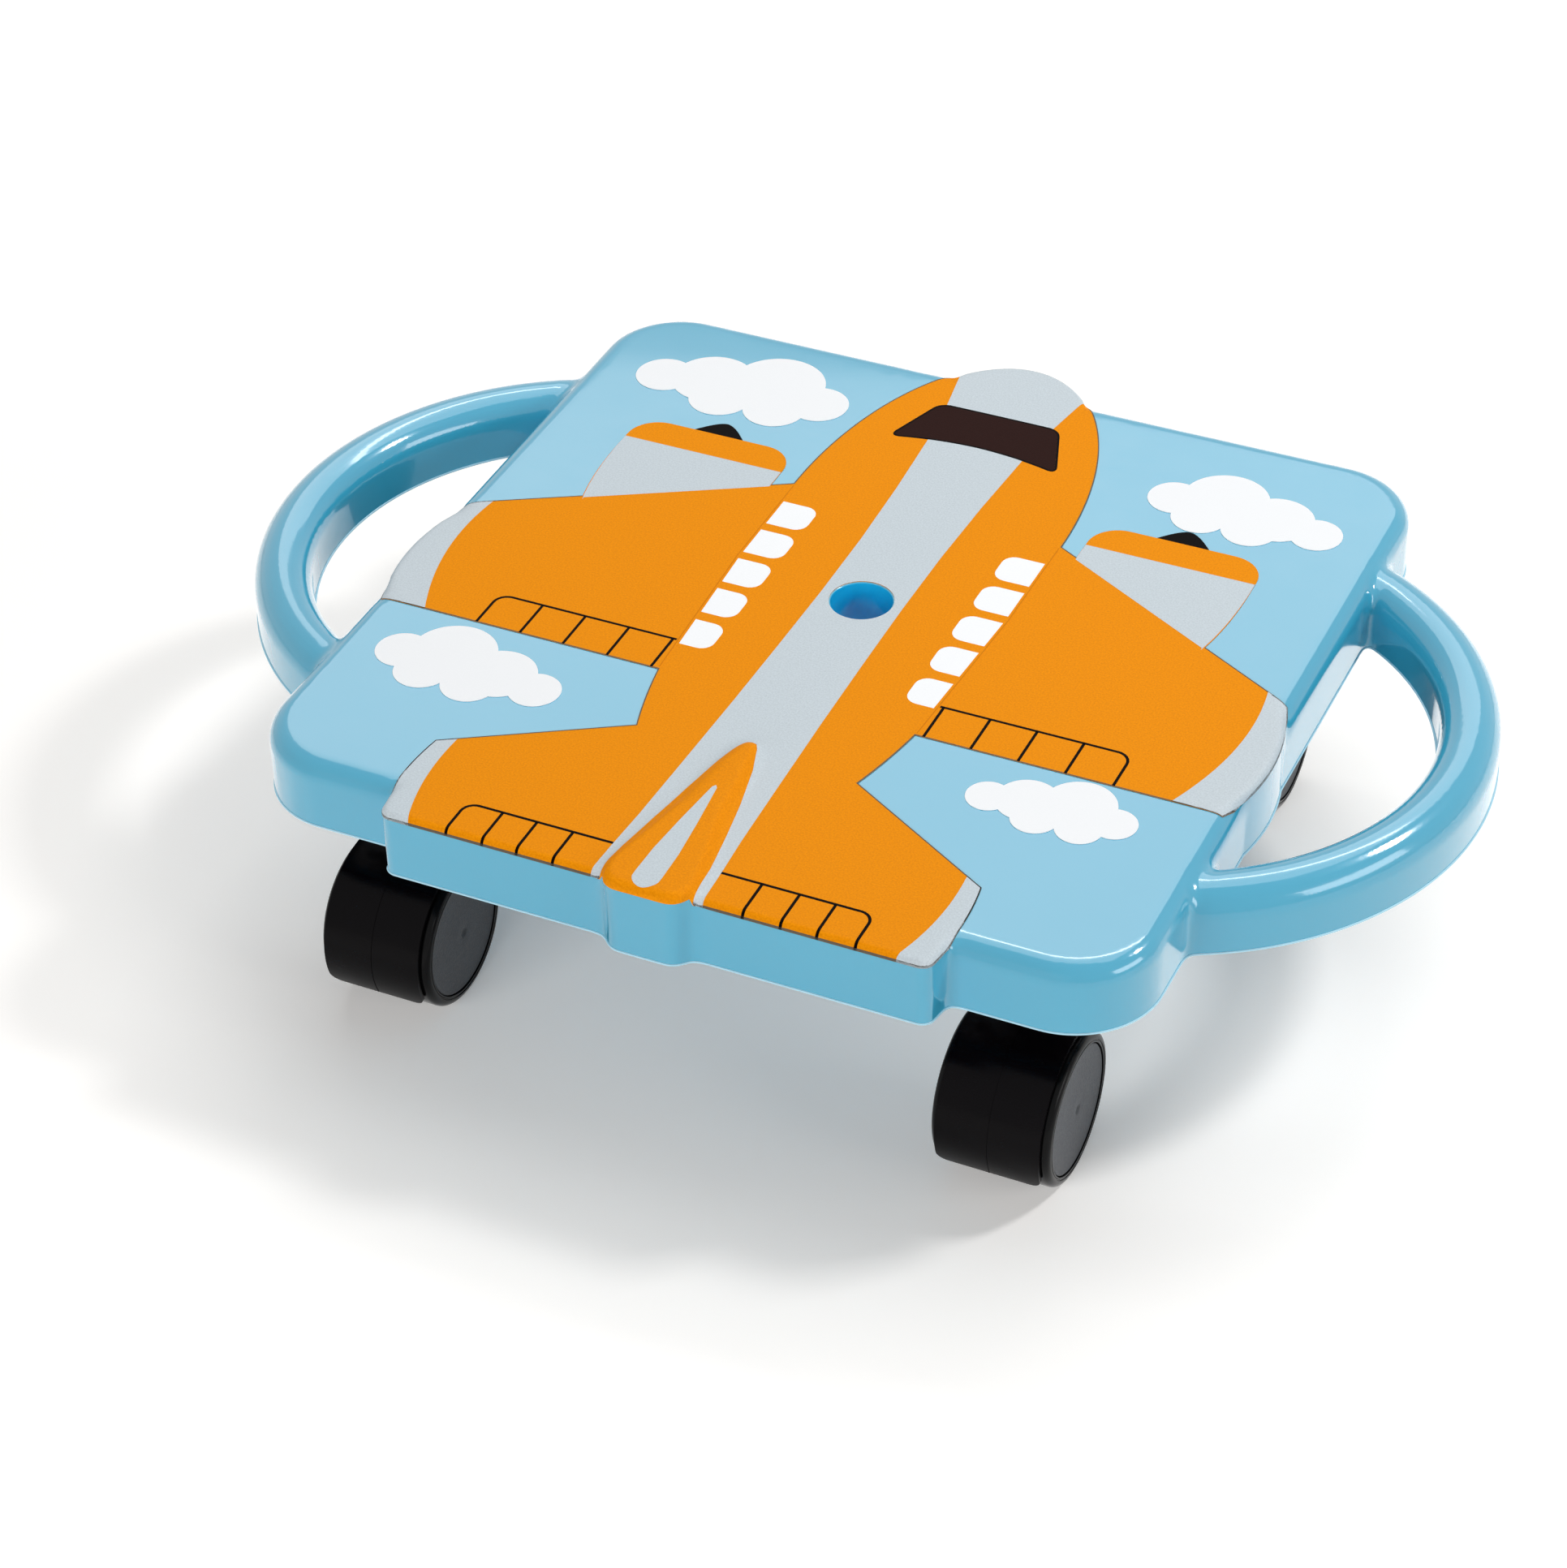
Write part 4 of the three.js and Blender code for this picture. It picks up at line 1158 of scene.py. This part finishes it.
def gloss_plastic(name, low, high, roughness, spread, wave=60.0, fine=1400.0, share=0.05, lift=0.00012,
                  strength=0.25, **constants):
    """A moulded plastic: slightly wavy and unevenly glossy, with a few scuffs that dull it."""
    material, tree, shader = finish(name, **constants)
    skin_look = effect(tree, MOULDED, Wave_Scale=wave, Fine_Scale=fine, Fine_Share=share)
    tinted(tree, shader, skin_look["Tint"], low, high)
    scuff = effect(tree, SCUFFS, Length=35.0, Amount=0.04)["Mask"]
    uneven = spanned(tree, skin_look["Gloss"], roughness, roughness + spread)
    tree.links.new(maths(tree, "ADD", uneven, scuff), shader.inputs["Roughness"])
    bumped(tree, shader, skin_look["Height"], strength, lift)
    return material


def printed_film(name, colour, roughness=0.5, grain=1800.0, strength=0.5, speckle=8, specular=0.3):
    """An ink on the pebbled film: satin, with a mottled tint and a fine grain."""
    material, tree, shader = finish(name, Specular_IOR_Level=specular)
    pebble = effect(tree, PEBBLE, Grain_Scale=grain)
    darker = tuple(max(0, c - speckle) for c in colour)
    lighter = tuple(min(255, c + speckle) for c in colour)
    tinted(tree, shader, pebble["Speckle"], darker, lighter)
    uneven = spanned(tree, pebble["Speckle"], roughness - 0.06, roughness + 0.06)
    tree.links.new(uneven, shader.inputs["Roughness"])
    bumped(tree, shader, pebble["Height"], strength, 0.00012)
    return material


def paint_bore_bounce_light(material):
    """The rope hole's wall gets no coat and a deeper, purer blue than the deck: painted light that stands in
    for light bouncing round inside the bore.
    """
    tree = material.node_tree
    shader = tree.nodes["Principled BSDF"]
    place = object_place(tree)
    level = add(tree, "ShaderNodeVectorMath", {0: place, 1: (1, 1, 0)}, operation="MULTIPLY")
    away = add(tree, "ShaderNodeVectorMath", {0: level.outputs["Vector"], 1: (0, BOARD_SHIFT * MM, 0)},
               operation="DISTANCE")
    outside = maths(tree, "GREATER_THAN", away.outputs["Value"], 10.2 * MM)
    deck_colour = shader.inputs["Base Color"].links[0].from_socket
    # painted light: a purer blue inside the rope hole for the light that bounces round in the bore
    blue = add(tree, "ShaderNodeMix", {0: outside, 6: linear((26, 180, 230)), 7: deck_colour},
               data_type="RGBA")
    coat = maths(tree, "MULTIPLY", outside, shader.inputs["Coat Weight"].default_value)
    tree.links.new(blue.outputs[2], shader.inputs["Base Color"])
    tree.links.new(coat, shader.inputs["Coat Weight"])


def zinc_steel():
    """Zinc-plated steel: a faint crystal pattern in the plating and fine rolling lines."""
    material, tree, shader = finish("zinc_steel", Metallic=1.0)
    place = object_place(tree)
    crystals = add(tree, "ShaderNodeTexVoronoi", {"Vector": place, "Scale": 420.0})
    lines = add(tree, "ShaderNodeMapping", {"Vector": place, "Scale": (60, 1800, 300)})
    drawn = noise(tree, lines.outputs[0], 1.0, 3)
    grey = add(tree, "ShaderNodeSeparateColor", {"Color": crystals.outputs["Color"]})
    tinted(tree, shader, grey.outputs[0], (176, 180, 184), (198, 200, 202))
    tree.links.new(spanned(tree, drawn, 0.26, 0.44), shader.inputs["Roughness"])
    bumped(tree, shader, drawn, 0.15, 0.00005)
    return material


def paint(pieces, material):
    for piece in pieces:
        piece.data.materials.clear()
        piece.data.materials.append(material)


deck_blue = gloss_plastic("deck_blue", (56, 159, 191), (64, 163, 195), 0.13, 0.05, IOR=1.5,
                          Coat_Weight=0.75, Coat_Roughness=0.05)
paint_bore_bounce_light(deck_blue)
paint([body], deck_blue)
# The lip's pale blue is a painted highlight: a bright line along the foot's outer edge.
paint([lip], gloss_plastic("lip_painted_highlight", (168, 217, 235), (176, 221, 238), 0.2, 0.05))
paint([film], printed_film("print_orange", (234, 141, 0), 0.6, speckle=9, specular=0.06))
paint([grey], printed_film("print_grey", (196, 206, 212), specular=0.1))
paint([white], printed_film("print_white", (243, 245, 247), grain=1700.0, strength=0.2, speckle=2))
paint([black], printed_film("print_black", (5, 3, 3), 0.6, speckle=2, specular=0.03))
paint([glass], printed_film("print_brown", (38, 18, 15), 0.6, speckle=4, specular=0.03))
# The crease's darker orange is painted shade along the fuselage's edge.
paint([creases], printed_film("crease_painted_shade", (212, 124, 0), 0.6, speckle=6, specular=0.06))
paint([edge_line], printed_film("print_edge", (98, 88, 76), 0.5, speckle=4, specular=0.1))
paint(clouds.values(), printed_film("cloud_white", (238, 240, 242), 0.35, 900.0, 0.1, 1, 0.2))
paint(made["hood"], gloss_plastic("black_nylon", (3, 2, 3), (6, 4, 6), 0.2, 0.08, wave=120.0,
                                  fine=2500.0, share=0.15, Specular_IOR_Level=0.07))
paint(made["wheel"], gloss_plastic("tread", (8, 8, 9), (12, 12, 13), 0.16, 0.06, wave=200.0,
                                   fine=3000.0, share=0.3, Specular_IOR_Level=0.09))
paint(made["disc"], gloss_plastic("disc_grey", (46, 48, 53), (56, 59, 64), 0.45, 0.1, wave=1600.0,
                                  fine=5000.0, share=0.5, lift=0.0002, strength=0.5, Specular_IOR_Level=0.35))
paint(made["zinc"], zinc_steel())
paint(made["washer"], gloss_plastic("white_nylon", (212, 212, 205), (220, 220, 214), 0.4, 0.1))
print("materials", len(bpy.data.materials))

# %% [markdown]
# ## Floor and light
# The board stands on a white floor, which the camera and the gloss see brighter than the lamps make it.
# A small key lamp stands behind the board on the camera's right and throws the shadow. A large panel
# above and a narrow strip behind it draw the gloss along the rounded edges. A panel on the right lights
# the discs, and a soft fill from the tail's side lights the walls that face the camera. The fill is
# hidden from reflections.

# %% Floor and lamps
def floor_material():
    """A matt white floor. The camera sees it brighter, more so far away, so it joins the backdrop."""
    material, tree, shader = finish("floor_white", Roughness=0.8, Specular_IOR_Level=0.1)
    path = add(tree, "ShaderNodeLightPath").outputs
    place = object_place(tree)
    away = add(tree, "ShaderNodeVectorMath", {0: place}, operation="LENGTH")
    white = spanned(tree, away.outputs["Value"], 0.2, 1.0, 0.45, 1.6)
    mirrored_ray = maths(tree, "MAXIMUM", path["Is Glossy Ray"], path["Is Transmission Ray"])
    gloss = maths(tree, "MULTIPLY", mirrored_ray, 0.4)
    seen = maths(tree, "MULTIPLY_ADD", path["Is Camera Ray"], white, gloss)
    paper = add(tree, "ShaderNodeTexNoise", {"Scale": 6.0, "Detail": 2})
    tinted(tree, shader, paper.outputs["Fac"], (249, 246, 242), (251, 248, 245))
    shader.inputs["Emission Color"].default_value = (1, 1, 1, 1)
    tree.links.new(seen, shader.inputs["Emission Strength"])
    return material


bpy.ops.mesh.primitive_plane_add(size=14, location=(0, 0, 0))
floor = bpy.context.object
floor.name = "floor"
floor.data.materials.append(floor_material())
floor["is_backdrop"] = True


def lamp(name, towards, distance, size, glow):
    """A soft lamp in a direction from the board. Its glow is how bright its face looks, white being 1."""
    way = Vector(towards).normalized()
    target = Vector((0, 0, 0.09))
    bpy.ops.object.light_add(type="AREA", location=target + way * distance)
    light = bpy.context.object
    light.name = name
    light.rotation_euler = way.to_track_quat("Z", "Y").to_euler()
    light.data.shape = "RECTANGLE"
    light.data.size, light.data.size_y = size
    light.data.energy = glow * math.pi * size[0] * size[1]
    return light


lamp("key", (0.57, 0.36, 0.74), 1.95, (0.26, 0.26), 60)
lamp("sky_panel", (-0.14, 0.49, 0.86), 2.0, (1.9, 2.2), 1.68)
lamp("back_strip", (-0.06, 0.6, 0.82), 1.9, (1.2, 0.14), 9.0)
lamp("side_panel", (0.93, -0.1, 0.33), 2.0, (1.2, 0.6), 4.2)
fill = lamp("front_fill", (-0.1, -0.93, 0.3), 2.2, (1.8, 1.2), 4.3)
fill.visible_glossy = False


def studio_world():
    world = bpy.data.worlds.new("studio")
    bpy.context.scene.world = world
    world.use_nodes = True
    tree = world.node_tree
    background = tree.nodes["Background"]
    background.inputs["Color"].default_value = (1, 1, 1, 1)
    path = add(tree, "ShaderNodeLightPath").outputs
    seen = maths(tree, "MAXIMUM", path["Is Camera Ray"], path["Is Glossy Ray"])
    seen = maths(tree, "MAXIMUM", seen, path["Is Transmission Ray"])
    tree.links.new(spanned(tree, seen, 0.08, 1.0, 0.0, 1.0), background.inputs["Strength"])


studio_world()
bpy.context.scene.view_settings.view_transform = "Standard"

# %% Sizes
low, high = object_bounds()
print("visual box", low[:], high[:])
